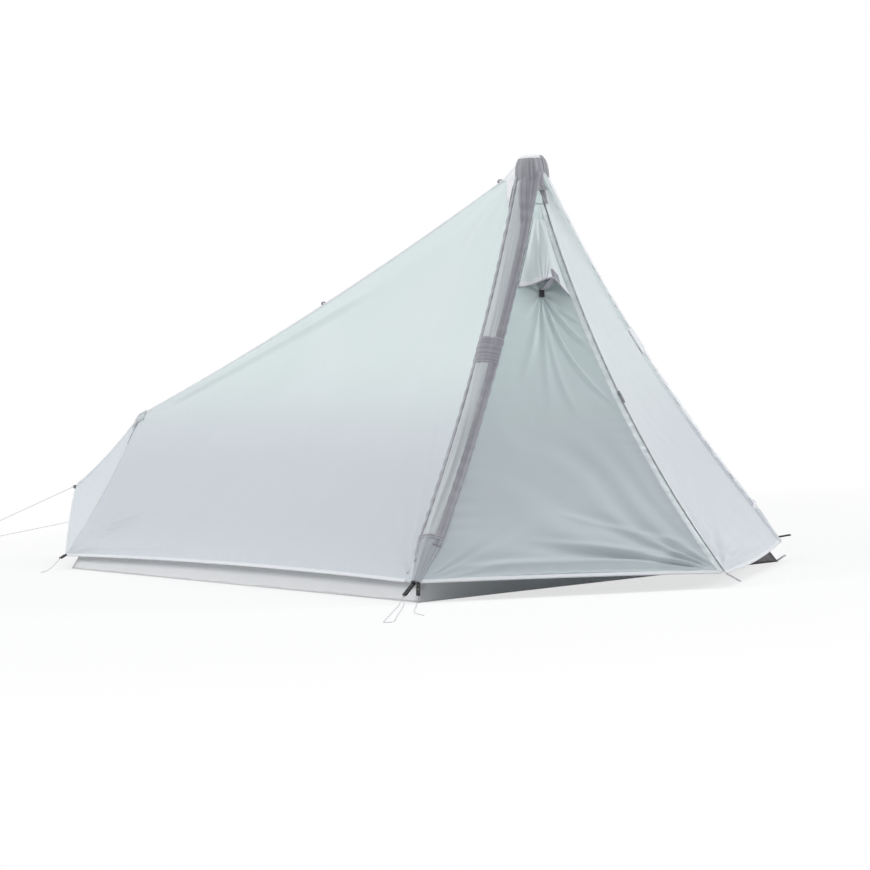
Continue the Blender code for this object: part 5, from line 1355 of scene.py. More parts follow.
@dataclass
class Lines:
    """Guylines and stake cords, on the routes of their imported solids."""

    cord: float = 0.0022
    guyline: float = 0.0025
    head_route: tuple = (
        (1.2181, -0.6754, 0.0229), (1.2181, -0.6796, 0.0186), (1.226, -0.693, 0.007), (1.256, -0.719, 0.0014),
        (1.34, -0.788, 0.0014), (1.44, -0.868, 0.0014), (1.54, -0.948, 0.0014), (1.625, -1.017, 0.0014),
        (1.647, -1.028, 0.0014), (1.656, -1.012, 0.0014), (1.638, -0.991, 0.0014), (1.596, -0.96, 0.0014),
        (1.5, -0.888, 0.0014), (1.4, -0.811, 0.0014), (1.3, -0.735, 0.0014), (1.25, -0.698, 0.0022),
        (1.23, -0.684, 0.012), (1.2241, -0.6784, 0.0198), (1.2241, -0.6754, 0.0229),
    )
    floor_route: tuple = (
        (1.2348, -0.6392, 0.0182), (1.2351, -0.64, 0.013), (1.2375, -0.643, 0.005), (1.246, -0.651, 0.0014),
        (1.276, -0.674, 0.0014), (1.34, -0.72, 0.0014), (1.42, -0.78, 0.0014), (1.5, -0.832, 0.0014),
        (1.588, -0.865, 0.0014),
    )
    foot_route: tuple = (
        (-1.2056, -0.3819, 0.038), (-1.2, -0.392, 0.0344), (-1.185, -0.422, 0.018), (-1.169, -0.454, 0.005),
        (-1.15, -0.49, 0.0014),
    )

    def lay(self, name: str, route: Array, diameter: float, far_end: str, lay: str, pieces: Sequence = ()) -> None:
        """One cord as a braided tube on its route.

        Args:
            name: Packed cord that it stands for.
            route, diameter: Centre points and cord diameter.
            far_end, lay: Not used.
            pieces: Not used.
        """
        route = route.copy()
        route[:, 2] = np.maximum(route[:, 2], diameter / 2 + 0.0001)
        made = tube(name + "_braid", route, diameter / 2)
        length = float(np.linalg.norm(np.diff(route, axis=0), axis=1).sum())
        settle(made, "tent", "cord", CORD, (name,))
        tuple(route[0])

    def knot(self, name: str, centre: Array, along: Array, radius: float, size: float) -> Piece:
        """Overhand knot: a cord wound as a trefoil round a line."""
        turn = np.linspace(0, TURN, 60, endpoint=False)
        first = unit(np.cross(along, UP))
        second = np.cross(along, first)
        x = size * (np.sin(turn) + 2 * np.sin(2 * turn)) / 3
        y = size * (np.cos(turn) - 2 * np.cos(2 * turn)) / 3
        z = -size * 0.8 * np.sin(3 * turn)
        path = centre + np.outer(z, along) + np.outer(x, first) + np.outer(y, second)
        made = tube(name, np.concatenate((path, path[:2])), radius, 8)
        settle(made, "tent", "cord", CORD)
        return made

    def build(self) -> None:
        """All cords."""
        for name in ("guyline_upper", "guyline_lower"):
            low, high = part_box(name)
            nodes = np.array([tuple(vertex.co) for vertex in frame["nodes"][name].data.vertices])
            start = nodes[nodes[:, 0] > high[0] - 0.0015].mean(axis=0)
            end = nodes[nodes[:, 0] < low[0] + 0.0015].mean(axis=0)
            route = smooth_route([start, (start + end) / 2, end], 0.012)
            travel = unit(end - start)
            knot = self.knot(name + "_knot", end - travel * 0.004, travel, self.guyline / 2, 0.0035)
            self.lay(name, route, self.guyline, "knot", "taut", (knot,))
        for name, route, spacing, far_end in (("near_head_cord", self.head_route, 0.006, "object"),
                                              ("near_floor_cord", self.floor_route, 0.006, "bare"),
                                              ("near_foot_cord", self.foot_route, 0.004, "bare")):
            self.lay(name, smooth_route(route, spacing), self.cord, far_end, "loose")


# Fly


@dataclass
class Fly:
    """Side, foot and porch panels of the outer tent with their seams and hems."""

    stitching: "Stitching"
    seam: float = 0.008
    side_cloths: dict = field(default_factory=dict)
    porch_cloths: dict = field(default_factory=dict)
    beak_cloths: dict = field(default_factory=dict)

    def side_folds(self, seed: int) -> tuple:
        """Folds of a long side panel."""
        return (
            Swell(0.0022, 0.3, 0.85, seed, 0.2), Swell(0.0006, 0.07, 0.2, seed + 1, 0.12),
            Fan(1.0, 0.0, 0.0036, 0.2, 8, seed + 2), Fan(0.0, 0.0, 0.0042, 0.24, 7, seed + 3),
            Fan(0.0, 1.0, 0.0022, 0.16, 7, seed + 4), Fan(1.0, 1.0, 0.0028, 0.26, 9, seed + 5),
            Pucker(Side.BOTTOM, 0.042, 0.0014, 0.035, seed + 6), Pucker(Side.RIGHT, 0.06, 0.0013, 0.05, seed + 7),
            Pucker(Side.TOP, 0.055, 0.0009, 0.045, seed + 8), Pucker(Side.LEFT, 0.04, 0.0009, 0.03, seed + 9),
            Crease((0.05, 0.955), (0.72, 0.905), 0.0085, 0.012, 0.012),
            Crease((0.04, 0.985), (0.6, 0.955), 0.0055, 0.01),
            Crease((0.06, 0.165), (0.175, 0.245), 0.0052, 0.0075),
            Crease((0.07, 0.205), (0.17, 0.275), 0.0046, 0.007),
            Crease((0.055, 0.13), (0.15, 0.195), 0.004, 0.007), Crease((0.02, 0.055), (0.42, 0.06), 0.0034, 0.008),
            Crease((0.985, 0.12), (0.905, 0.62), 0.003, 0.012, 0.01),
            Crease((0.99, 0.6), (0.93, 0.93), 0.0026, 0.01),
        )

    def porch_fold_set(self, seed: int) -> tuple:
        """Folds of a porch panel."""
        return (
            Swell(0.0016, 0.2, 0.55, seed, 0.12), Swell(0.0005, 0.05, 0.14, seed + 1, 0.08),
            Fan(1.0, 0.0, 0.0046, 0.3, 10, seed + 2), Fan(0.0, 0.0, 0.001, 0.16, 8, seed + 3),
            Pucker(Side.BOTTOM, 0.036, 0.0016, 0.03, seed + 4), Pucker(Side.LEFT, 0.045, 0.0012, 0.04, seed + 5),
            Pucker(Side.RIGHT, 0.034, 0.0013, 0.034, seed + 6),
            Crease((0.97, 0.034), (0.05, 0.034), 0.0062, 0.011),
            Crease((0.965, 0.055), (0.3, 0.105), 0.004, 0.01, 0.01),
            Crease((0.965, 0.085), (0.42, 0.185), 0.0034, 0.01, 0.01),
        )

    def tab_fold_set(self) -> tuple:
        """Folds of the door below the tab that the vent's strap pulls on."""
        return (
            Crease((0.46, 0.742), (0.985, 0.44), 0.0046, 0.0065, -0.012),
            Crease((0.47, 0.744), (0.97, 0.6), 0.0036, 0.008), Crease((0.46, 0.745), (0.96, 0.67), 0.003, 0.007),
            Crease((0.45, 0.735), (0.66, 0.42), 0.0034, 0.012, -0.01),
            Crease((0.43, 0.735), (0.46, 0.43), 0.003, 0.014), Crease((0.4, 0.74), (0.22, 0.5), 0.0024, 0.014),
            Fan(0.42, 0.752, 0.0022, 0.16, 6, 131),
        )

    def shape(self) -> None:
        """Skins of all panels."""
        for name, side in SIDES.items():
            seed = 20 if side < 0 else 60
            self.side_cloths[name] = Cloth(side_surface(side), self.side_folds(seed))
            folds = self.porch_fold_set(seed + 100) + (self.tab_fold_set() if side < 0 else ())
            self.porch_cloths[name] = Cloth(porch_surface(side), folds)
            beak_folds = (Swell(0.001, 0.12, 0.4, seed + 31), Fan(0.0, 1.0, 0.002, 0.14, 7, seed + 32),
                          Fan(1.0, 1.0, 0.002, 0.12, 6, seed + 33), Pucker(Side.BOTTOM, 0.035, 0.0012, 0.03, seed + 34),
                          Pucker(Side.LEFT, 0.04, 0.0008, 0.03, seed + 35))
            self.beak_cloths[name] = Cloth(beak_surface(side), beak_folds)

    def build_sides(self) -> None:
        """Long side panels and foot beaks."""
        gap = (0.0004, 0.0, 0.0, 0.0004)
        for name in SIDES:
            sheet_panel(name + "_side_cloth", name + "_side_panel", self.side_cloths[name], FLY, (2.5, 1.42),
                        (name + "_pole_sleeve", "foot_pole"), (230, 120), insets=gap)
            sheet_panel(name + "_beak_cloth", name + "_foot_beak", self.beak_cloths[name], BEAK_CLOTH, (0.56, 0.56),
                        ("foot_pole",), (70, 80), insets=gap)

    def build_seams(self) -> None:
        """Ridge, foot and beak seams and the hems."""
        long, short = np.linspace(0.001, 0.985, 300), np.linspace(0.002, 0.998, 120)
        rows = self.stitching.kept("tent", "fly")
        bands = [(seam_band("ridge_seam", *self.side_cloths.values(), Side.TOP, self.seam, long, 5, rows), SEAM_CLOTH),
                 (seam_band("beak_seam", *self.beak_cloths.values(), Side.TOP, self.seam, short, 6, rows), SEAM_CLOTH)]
        under, taper = np.linspace(0.8, 0.985, 40), np.linspace(0.004, 0.022, 40)[:, None]
        for name in SIDES:
            body, beak = self.side_cloths[name], self.beak_cloths[name]
            foot = seam_band(name + "_foot_seam", body, beak, Side.LEFT, self.seam * 0.6, short, 7, rows)
            tape = edge_band(name + "_foot_tape", body, Side.LEFT, 0.001, taper, under, 0.0018, seed=14, rows=rows)
            bands += [(foot, SEAM_CLOTH), (tape, GREY_CLOTH),
                      (hem_band(name + "_side_hem", body, long, 8, rows), HEM_CLOTH),
                      (hem_band(name + "_beak_hem", beak, short, 9, rows), HEM_CLOTH)]
        for band, finish in bands:
            settle(band, "tent", "fly_cloth", finish)

    def build_far_porch(self) -> None:
        """Fixed half of the porch and its hem."""
        cloth = self.porch_cloths["far"]
        free = PLAN.tape_reach + 0.0009
        sheet_panel("far_porch_cloth", "far_porch_panel", cloth, PORCH_CLOTH, (0.9, 1.35),
                    ("far_pole_sleeve", "far_zip_tape"), (110, 160), insets=(0.0, free, 0.0, 0.0))
        run = np.linspace(0.002, 0.985, 120)
        hem = hem_band("far_porch_hem", cloth, run, 11, self.stitching.kept("tent", "fly"))
        settle(hem, "tent", "fly_cloth", HEM_CLOTH)

    def build(self) -> None:
        """Whole fly."""
        self.shape()
        self.build_sides()
        self.build_seams()
        self.build_far_porch()


# Pole sleeves


@dataclass(frozen=True)
class SleeveLook:
    """Cloths of one sleeve, and the turns that its porch band covers, in degrees."""

    cloth: Finish
    pocket: Finish
    tape: Finish
    band: Finish
    band_turns: Pair


@dataclass
class PoleSleeve:
    """Sleeve round one trekking pole, with its sewn tapes, patch and foot pocket."""

    name: str
    seed: int
    look: SleeveLook
    stitching: "Stitching"
    start: float = 0.1406
    top_height: float = 1.184
    round_end: float = 0.034
    wrap_height: float = 0.97
    wrap_run: float = 0.18
    tape_turns: Pair = (126.0, 190.0)
    tape_from: float = 0.065
    patch_run: Pair = (0.695, 0.775)
    patch_turns: Pair = (6.0, 150.0)
    fold: float = 0.075

    @property
    def line(self) -> SleeveLine:
        """Run and section."""
        return LINES[self.name]

    def skin(self, share: Array, turn: Array) -> Array:
        """Points of the folded sleeve; turn 0 is its porch edge and a quarter turn its outer face."""
        share, turn = both(share, turn)
        line = self.line
        run = share * line.arc.run
        wander = 1.7 * drift(run, turn * 0, self.seed, 0.35, 1.1, 4)
        folds = np.sin(turn * 6 + wander) + 0.55 * np.sin(turn * 11 - 1.6 * wander)
        folds = folds * (0.55 + 0.45 * drift(run, turn * 0, self.seed + 1, 0.2, 0.7, 4))
        folds = folds + 0.5 * np.sin(turn * 7 + run * TURN / 0.055) * np.exp(-((run - line.pocket) / 0.05) ** 2)
        width, depth = line.halves(share)
        width, depth = width * (1 + 0.004 * folds), depth * (1 + self.fold * folds)
        body = np.exp(-((np.cos(turn) / 0.42) ** 2))
        depth = depth * np.where(np.sin(turn) > 0, 0.86 + 0.14 * body, 0.9)
        top = line.arc.share_at_height(self.top_height) * line.arc.run
        close = np.sqrt(1 - np.clip((run - top) / self.round_end + 1, 0.0, 0.995) ** 2)
        width, depth = width * (0.45 + 0.55 * close), depth * (0.35 + 0.65 * close)
        outward = line.wide * (width * np.cos(turn))[..., None]
        outward = outward - line.arc.radials(share) * (depth * np.sin(turn))[..., None]
        return line.arc.points(share) + outward

    def grid(self, share: Array, turn: Array) -> Arrays:
        """Skin points and outward normals at shares up it and turns round it."""
        share, turn = np.broadcast_arrays(share, turn)
        points = self.skin(share, turn)
        step = 1e-3
        round_it = self.skin(share, turn + step) - self.skin(share, turn - step)
        up = self.skin(np.minimum(share + step, 1.0), turn) - self.skin(share - step, turn)
        normals = unit(np.cross(unit(round_it), unit(up)))
        outward = points - self.line.arc.points(share)
        return points, aimed(normals, outward)

    def share_at(self, metres: float) -> float:
        """Share at a distance up the sleeve."""
        return metres / self.line.arc.run

    def tubes(self) -> None:
        """Sleeve and foot pocket."""
        turns = np.linspace(0, TURN, 84, endpoint=False)[None, :]
        top = self.line.arc.share_at_height(self.top_height)
        for part, low, high, rows, finish, proud in (
            ("sleeve", self.share_at(self.start), top, 240, self.look.cloth, 0.0),
            ("pocket", 0.0, self.share_at(self.start) + 0.004, 60, self.look.pocket, 0.0012),
        ):
            points, normals = self.grid(np.linspace(low, high, rows)[:, None], turns)
            vertices, faces = shell(points + normals * proud, normals, 0.0008, closed=True)
            around = np.linspace(0, 1, turns.size) * 0.12
            uv = np.stack(np.meshgrid(around, run_along(points[:, 0])), axis=-1).reshape(-1, 2)
            made = make_mesh(f"{self.name}_{part}_cloth", vertices, faces, np.concatenate((uv, uv)))
            face_outwards(made)
            node = self.name + ("_pole_sleeve" if part == "sleeve" else "_foot_pocket")
            settle(made, "tent", "grey_cloth", finish, (node,))

    def band(self, part: str, share: Array, turns: Array, proud: Pair, seed: int, finish: Finish,
             crosswise: bool = False, stands_for: Sequence[str] = ()) -> None:
        """Band sewn on the sleeve.

        Args:
            part: Last words of its name.
            share, turns: Shares up the sleeve as a column, and degrees round it as a row.
            proud: Height of its face and its thickness.
            seed: As for strip.
            finish, stands_for: As for settle.
            crosswise: Whether it runs round the sleeve.
        """
        points, normals = self.grid(share, np.radians(turns))
        if crosswise:
            points, normals = points.transpose(1, 0, 2), normals.transpose(1, 0, 2)
        rows = self.stitching.kept("tent", self.name + "_sleeve")
        made = strip(f"{self.name}_{part}", points, normals, *proud, seed, rows)
        settle(made, "tent", "grey_cloth", finish, stands_for)

    def tapes(self) -> None:
        """Narrow tape on the foot side, wide band on the porch side, middle patch and pocket edge."""
        arc, start = self.line.arc, self.share_at(self.start)
        top = arc.share_at_height(self.top_height) - 0.004
        first, last = self.tape_turns
        share = np.linspace(self.share_at(self.tape_from), top, 230)[:, None]
        turns = np.linspace(first, last, 10)[None, :]
        self.band("side_tape", share, turns, (0.0024, 0.0026), self.seed, self.look.tape)
        share = np.linspace(start - 0.02, top, 230)[:, None]
        begin, end = self.look.band_turns
        end = end + (first - 16 - end) * ease((arc.points(share)[..., 2] - self.wrap_height) / self.wrap_run)
        turns = begin + (end - begin) * np.linspace(0, 1, 22)[None, :]
        self.band("porch_band", share, turns, (0.0022, 0.0024), self.seed, self.look.band)
        share = np.linspace(*(self.share_at(run) for run in self.patch_run), 26)[:, None]
        self.band("cross_patch", share, np.linspace(*self.patch_turns, 44)[None, :], (0.0034, 0.003), self.seed + 3,
                  self.look.band, True, (self.name + "_sleeve_patch",))
        share = np.linspace(start - 0.006, start + 0.004, 6)[:, None]
        self.band("pocket_edge", share, np.linspace(-20, 200, 60)[None, :], (0.0027, 0.0018), self.seed + 5,
                  self.look.band, True)

    def build(self) -> None:
        """Whole sleeve."""
        self.tubes()
        self.tapes()


# Stitches and zip teeth


@dataclass
class Stitching:
    """Rows of thread and the zip's teeth, laid along paths by one node tree each."""

    pitch: float = 0.0048
    length: float = 0.0034
    thread: float = 0.00032
    tooth_pitch: float = 0.0023
    tooth: Triple = (0.0032, 0.0012, 0.0013)
    rows: dict = field(default_factory=dict)

    def kept(self, body: str, group: str) -> list:
        """Rows of stitches of one group of a body's seams."""
        return self.rows.setdefault((body, group), [])

    @staticmethod
    def paths(name: str, rows: Sequence[Array]) -> Piece:
        """Object of bare polylines."""
        mesh = bpy.data.meshes.new(name)
        vertices, edges, first = [], [], 0
        for row in rows:
            vertices += row.tolist()
            edges += [(first + step, first + step + 1) for step in range(len(row) - 1)]
            first += len(row)
        mesh.from_pydata(vertices, edges, [])
        return link(name, mesh)

    @staticmethod
    def tree(name: str, finish: Finish, sides: int) -> Tree:
        """Node tree that sets a small rounded bar at every step along the paths.

        Args:
            name: Tree name.
            finish: Finish of the bars.
            sides: Facets around a bar.

        Returns:
            The tree, with the inputs Pitch, Length, Width, Height and Turn.
        """
        tree = bpy.data.node_groups.new(name, "GeometryNodeTree")
        face = tree.interface
        face.new_socket("Geometry", in_out="INPUT", socket_type="NodeSocketGeometry")
        for label in ("Pitch", "Length", "Width", "Height", "Turn"):
            face.new_socket(label, in_out="INPUT", socket_type="NodeSocketFloat")
        face.new_socket("Geometry", in_out="OUTPUT", socket_type="NodeSocketGeometry")
        wire = Wiring(tree)
        given = tree.nodes.new("NodeGroupInput").outputs
        curve = wire.out("GeometryNodeMeshToCurve", {"Mesh": given["Geometry"]})
        steps = {"Curve": curve, "Length": given["Pitch"]}
        spread = wire.add("GeometryNodeCurveToPoints", steps, mode="LENGTH").outputs
        lean = wire.out("FunctionNodeAlignRotationToVector", {"Vector": spread["Tangent"]}, axis="X")
        turns = {"Rotation": lean, "Rotate By": wire.out("ShaderNodeCombineXYZ", {2: given["Turn"]})}
        turned = wire.out("FunctionNodeRotateRotation", turns, rotation_space="LOCAL")
        drum = {"Vertices": sides, "Side Segments": 2, "Radius": 0.5, "Depth": 1.0}
        place = wire.out("GeometryNodeInputPosition")
        across, over, along = wire.add("ShaderNodeSeparateXYZ", {0: place}).outputs[:3]
        slim = wire.span(wire.sums("ABSOLUTE", along), 0.15, 0.5, 1.0, 0.55)
        slimmed = {0: along, 1: wire.sums("MULTIPLY", across, slim), 2: wire.sums("MULTIPLY", over, slim)}
        bar = {"Geometry": wire.out("GeometryNodeMeshCylinder", drum),
               "Position": wire.out("ShaderNodeCombineXYZ", slimmed)}
        size = {0: given["Length"], 1: given["Width"], 2: given["Height"]}
        laid = wire.out("GeometryNodeInstanceOnPoints", {
            "Points": spread["Points"], "Instance": wire.out("GeometryNodeSetPosition", bar),
            "Rotation": turned, "Scale": wire.out("ShaderNodeCombineXYZ", size)})
        real = wire.out("GeometryNodeRealizeInstances", {"Geometry": laid})
        dressed = wire.out("GeometryNodeSetMaterial", {"Geometry": real, "Material": finish.material()})
        tree.links.new(dressed, tree.nodes.new("NodeGroupOutput").inputs[0])
        return tree

    @staticmethod
    def grow(name: str, paths: Piece, tree: Tree, sizes: dict[str, float]) -> Piece:
        """Plain mesh of a tree over paths; the paths go.

        Args:
            name, paths: Name of the result, and its polylines.
            tree, sizes: Node tree, and values for its named inputs.

        Returns:
            The new object.
        """
        modifier = paths.modifiers.new("bars", "NODES")
        modifier.node_group = tree
        for socket in tree.interface.items_tree:
            if socket.item_type == "SOCKET" and socket.in_out == "INPUT" and socket.name in sizes:
                modifier[socket.identifier] = sizes[socket.name]
        bpy.context.view_layer.update()
        held = paths.evaluated_get(bpy.context.evaluated_depsgraph_get())
        mesh = bpy.data.meshes.new_from_object(held)
        mesh.name = name
        mesh.shade_smooth()
        bpy.data.objects.remove(paths)
        return link(name, mesh)

    def build(self) -> None:
        """Thread on every kept row."""
        tree = self.tree("thread_rows", STITCH, 4)
        thick = 2 * self.thread
        sizes = {"Pitch": self.pitch, "Length": self.length, "Width": thick, "Height": thick, "Turn": 0.0}
        for (body, group), rows in self.rows.items():
            made = self.grow(f"{group}_stitches", self.paths(group + "_rows", rows), tree, sizes)
            settle(made, body, "fly_cloth", STITCH)

    def teeth(self, name: str, body: str, line: Array, towards: int) -> Piece:
        """One side of the zip's teeth along its line."""
        tree = self.tree(name + "_row", ZIP_COIL, 6)
        path = self.paths(name + "_path", [line + ACROSS * towards * self.tooth[0] * 0.3])
        sizes = {"Pitch": self.tooth_pitch, "Length": self.tooth[0], "Width": self.tooth[1], "Height": self.tooth[2],
                 "Turn": math.pi / 2}
        made = self.grow(name, path, tree, sizes)
        settle(made, body, "grey_cloth", ZIP_COIL)
        return made


# Door


@dataclass
class Door:
    """Zipped door panel with its vent window, hood, prop strap and half of the zip."""

    cloth: Cloth
    stitching: Stitching
    hem_sag: float = 0.012
    window_u: Pair = (0.2, 0.68)
    window_v: Pair = (0.782, 0.9)
    hood_hem_at: float = 0.744
    hood_top_at: float = 0.93
    hood_arch: float = 0.028
    hood_rise: float = 0.055
    hood_tail: float = 0.014
    hood_inset: float = 0.003
    trim_gap: float = 0.0009
    prop_u: float = 0.42
    prop_root_rise: float = 0.014
    prop_width: float = 0.014
    prop_tip: Pair = (0.72, 0.05)
    tape_inner: float = 0.0018
    tape_outer: float = 0.0185

    @property
    def top(self) -> float:
        """Share up the porch surface at which the door ends."""
        line = zip_line()
        return line.share_at_height(PLAN.door_top) / line.share_at_height(PLAN.porch_top)

    def panel(self) -> None:
        """Cloth with its window, hem, yoke and window binding."""
        free, top = PLAN.tape_reach + 0.0009, self.top
        window = (*self.window_u, self.window_v[0] / top, self.window_v[1] / top)
        made = cloth_panel("door_shaded_cloth", self.cloth, (0, 1, 0, top), (0.0, free, 0.0, 0.0), (150, 220), window=window)
        settle(made, "door", "fly_cloth", DOOR_SHADED_CLOTH, ("door_panel",))
        run = np.linspace(0.002, 0.985, 120)
        sag = self.hem_sag * np.sin(math.pi * run[:, None]) ** 0.8
        hem = hem_band("door_hem", self.cloth, run, 12, self.stitching.kept("door", "door"), sag)
        settle(hem, "door", "fly_cloth", HEM_CLOTH)
        declare_sheet((0.9, 1.35), ("near_pole_sleeve", "door_zip_tape"))
        sheet_panel("yoke_cloth", "porch_yoke", self.cloth, DOOR_SHADED_CLOTH, (0.06, 0.05), ("near_pole_sleeve", "peak_cap"),
                    (30, 10), (0, 1, top, 1), (0.0, 0.0006, 0.0012, 0.0))
        self.net()

    def net(self) -> None:
        """Mesh behind the window and the tape round it."""
        low_u, high_u, low_v, high_v = *self.window_u, *self.window_v
        sheet_panel("vent_net", "vent_mesh", self.cloth, NET, (0.14, 0.16), ("door_panel",), (16, 22),
                    (low_u - 0.03, high_u + 0.03, low_v - 0.006, high_v + 0.006), body="door", slot="inner_mesh",
                    thickness=0.0004, sink=0.0014)
        corners = [(low_u, low_v), (high_u, low_v), (high_u, high_v), (low_u, high_v), (low_u, low_v)]
        route = np.concatenate([np.linspace(start, stop, 16)[:-1] for start, stop in zip(corners, corners[1:])])
        centre = np.array(((low_u + high_u) / 2, (low_v + high_v) / 2))
        shares = np.linspace(0.97, 1.14, 4)
        grid = centre + (route[:, None] - centre) * shares[None, :, None]
        grid = np.concatenate((grid, grid[:1]))
        points = self.cloth.skin(grid[..., 0], grid[..., 1])
        normals = self.cloth.normals(grid[..., 0], grid[..., 1])
        made = strip("vent_binding", points, normals, 0.0007, 0.0012, 21)
        settle(made, "door", "grey_cloth", PALE_TAPE)

    def hood_grid(self, across: Array, up: Array) -> Arrays:
        """Points and normals of the hood over the window."""
        inside = np.clip(across, 0.0, 1.0)
        arch, bulge = (np.abs(np.sin(math.pi * inside**lean)) for lean in (1.25, 2.2))
        hem = self.hood_hem_at + self.hood_tail * (1 - across) ** 2 + self.hood_arch * arch
        v = hem + (self.hood_top_at - hem) * up
        width = self.cloth.surface.width(v)
        low, high = self.hood_inset / width, 1 - (0.0012 + 0.014 + self.hood_inset) / width
        u = low + (high - low) * across
        normals = self.cloth.surface.normals(u, v)
        lift = self.hood_rise * bulge**1.05 * (1 - np.clip(up, 0.0, 1.0)) ** 1.1
        fold = 0.0016 * np.sin(across * 23 + 2.0 * np.sin(across * 7)) * np.sqrt(arch) * (1 - up * 0.8)
        fold = fold + 0.0012 * drift(across * 0.25, up * 0.35, 31, 0.06, 0.22)
        hold = ease(across / 0.06) * ease((1 - across) / 0.06)
        off = self.trim_gap + 0.0018 - 0.0014 * np.clip(up, 0.0, 1.0) ** 4 + lift + fold * hold
        return self.cloth.skin(u, v) + normals * off[..., None], normals

    def hood_normals(self, points: Array) -> Array:
        """Outward normals of a grid of the hood's points."""
        normals = unit(np.cross(unit(np.gradient(points, axis=1)), unit(np.gradient(points, axis=0))))
        return aimed(normals, self.cloth.surface.facing)

    def hood(self) -> None:
        """Hood, its hem band and the pocket that the strap's end sits in."""
        across, up = np.meshgrid(np.linspace(0, 1, 90), np.linspace(0, 1, 70))
        points, _ = self.hood_grid(across, up)
        normals = self.hood_normals(points)
        vertices, faces = shell(points, normals, 0.0007)
        made = make_mesh("vent_hood_cloth", vertices, faces, flat_map(vertices, self.cloth.surface.facing))
        face_outwards(made)
        settle(made, "door", "fly_cloth", HOOD_CLOTH, ("vent_hood",))
        for name, wide, high, lift, depth, finish in (
            ("vent_hood_hem", (0.0, 1.0, 90), (-0.004, 0.075, 7), HEM_LIFT, HEM_DEPTH, HEM_CLOTH),
            ("vent_hood_piping", (0.0, 1.0, 90), (-0.01, 0.01, 5), 0.0014, 0.0032, GREY_TAPE),
            ("prop_pocket", (0.66, 0.86, 14), (0.004, 0.155, 12), 0.0021, 0.0034, GREY_CLOTH),
        ):
            settle(self.hood_strip(name, wide, high, lift, depth), "door", "grey_cloth", finish)
        declare_sheet((0.2, 0.24), ("door_panel", "vent_prop"))

    def hood_strip(self, name: str, across: tuple[float, float, int], up: tuple[float, float, int], lift: float,
                   thickness: float) -> Piece:
        """Band sewn on the hood.

        Args:
            name, lift, thickness: As for strip.
            across, up: First and last share, and how many steps.

        Returns:
            The band's object.
        """
        share, rise = np.meshgrid(np.linspace(*across), np.linspace(*up))
        grid, _ = self.hood_grid(share, rise)
        side = self.hood_normals(grid)
        return strip(name, grid.transpose(1, 0, 2), side.transpose(1, 0, 2), lift, thickness, 0,
                     self.stitching.kept("door", "door"))

    def prop(self) -> None:
        """Stiffened strap that holds the hood open, and the tab it hinges on."""
        root_v = self.hood_hem_at + self.prop_root_rise
        surface = self.cloth.surface.points(self.prop_u, root_v)
        normal = self.cloth.surface.normals(self.prop_u, root_v)
        upward = self.cloth.surface.points(self.prop_u, root_v + 0.01) - surface
        wide = unit(np.cross(normal, upward))
        root = surface + normal * (0.0036 / 2 + self.trim_gap)
        tip, out = self.hood_grid(np.array(self.prop_tip[0]), np.array(self.prop_tip[1]))
        reach = tip - out * 0.004 - root
        bend = aimed(unit(np.cross(unit(reach), wide)), -upward)
        arc = Arc.between(root, root + reach, bend, float(np.linalg.norm(reach)) * 0.14)
        share, cross = np.meshgrid(np.linspace(0, 1, 30), np.linspace(-1, 1, 9), indexing="ij")
        half = self.prop_width / 2 * (1 - 0.12 * np.abs(cross) ** 6)
        points = arc.points(share) + wide * (cross * half)[..., None] + arc.radials(share) * 0.0009
        made = strip("prop_strap", points, arc.radials(share), 0.0006, 0.0026, 0)
        settle(made, "vent_prop", "grey_cloth", GREY_TAPE, ("vent_prop",))
        drop = unit(upward)
        share, cross = np.meshgrid(np.linspace(-0.0005, 0.0215, 16), np.linspace(-1, 1, 9), indexing="ij")
        points = surface + normal * 0.004 - drop * (share + 0.0008)[..., None]
        points = points + wide * (cross * self.prop_width / 2)[..., None]
        normals = np.broadcast_to(normal, points.shape)
        tab = strip("prop_tab_webbing", points, normals, 0.0006, 0.0034, 0)
        settle(tab, "door", "black_plastic", DARK_TAPE, ("prop_tab",))

    def zip_side(self, name: str, body: str, towards: int, top: float, cloth: Cloth, replaced: str) -> None:
        """One tape and one row of teeth.

        Args:
            name: Start of the piece names.
            body: Body that they ride on.
            towards: Side of the zip line, -1 near or 1 far.
            top: Share up the panel at which they end.
            cloth: Panel that the tape is sewn on.
            replaced: Packed tape.
        """
        v = np.linspace(0.001, top, 260)
        away, run = np.meshgrid(np.linspace(self.tape_outer, self.tape_inner, 8), v)
        u, run = cloth.beside(Side.RIGHT, away, run)
        points, normals = cloth.skin(u, run), cloth.normals(u, run)
        points[:, -1, 1] = np.where(points[:, -1, 1] * towards > 0.0006, points[:, -1, 1], towards * 0.0006)
        made = strip(name + "_zip_cloth", points, normals, 0.001, 0.0019, 25, self.stitching.kept(body, name + "_zip"))
        settle(made, body, "grey_cloth", ZIP_TAPE, (replaced,))
        line = zip_line()
        share = line.share_at_height(PLAN.porch_top) * np.linspace(0.006, top - 0.004, 400)
        self.stitching.teeth(name + "_zip_teeth", body, line.points(share) - line.radials(share) * 0.0012, towards)

    def build(self) -> None:
        """Whole door."""
        self.panel()
        self.hood()
        self.prop()
        self.zip_side("door", "door", -1, self.top, self.cloth, "door_zip_tape")


# Peak


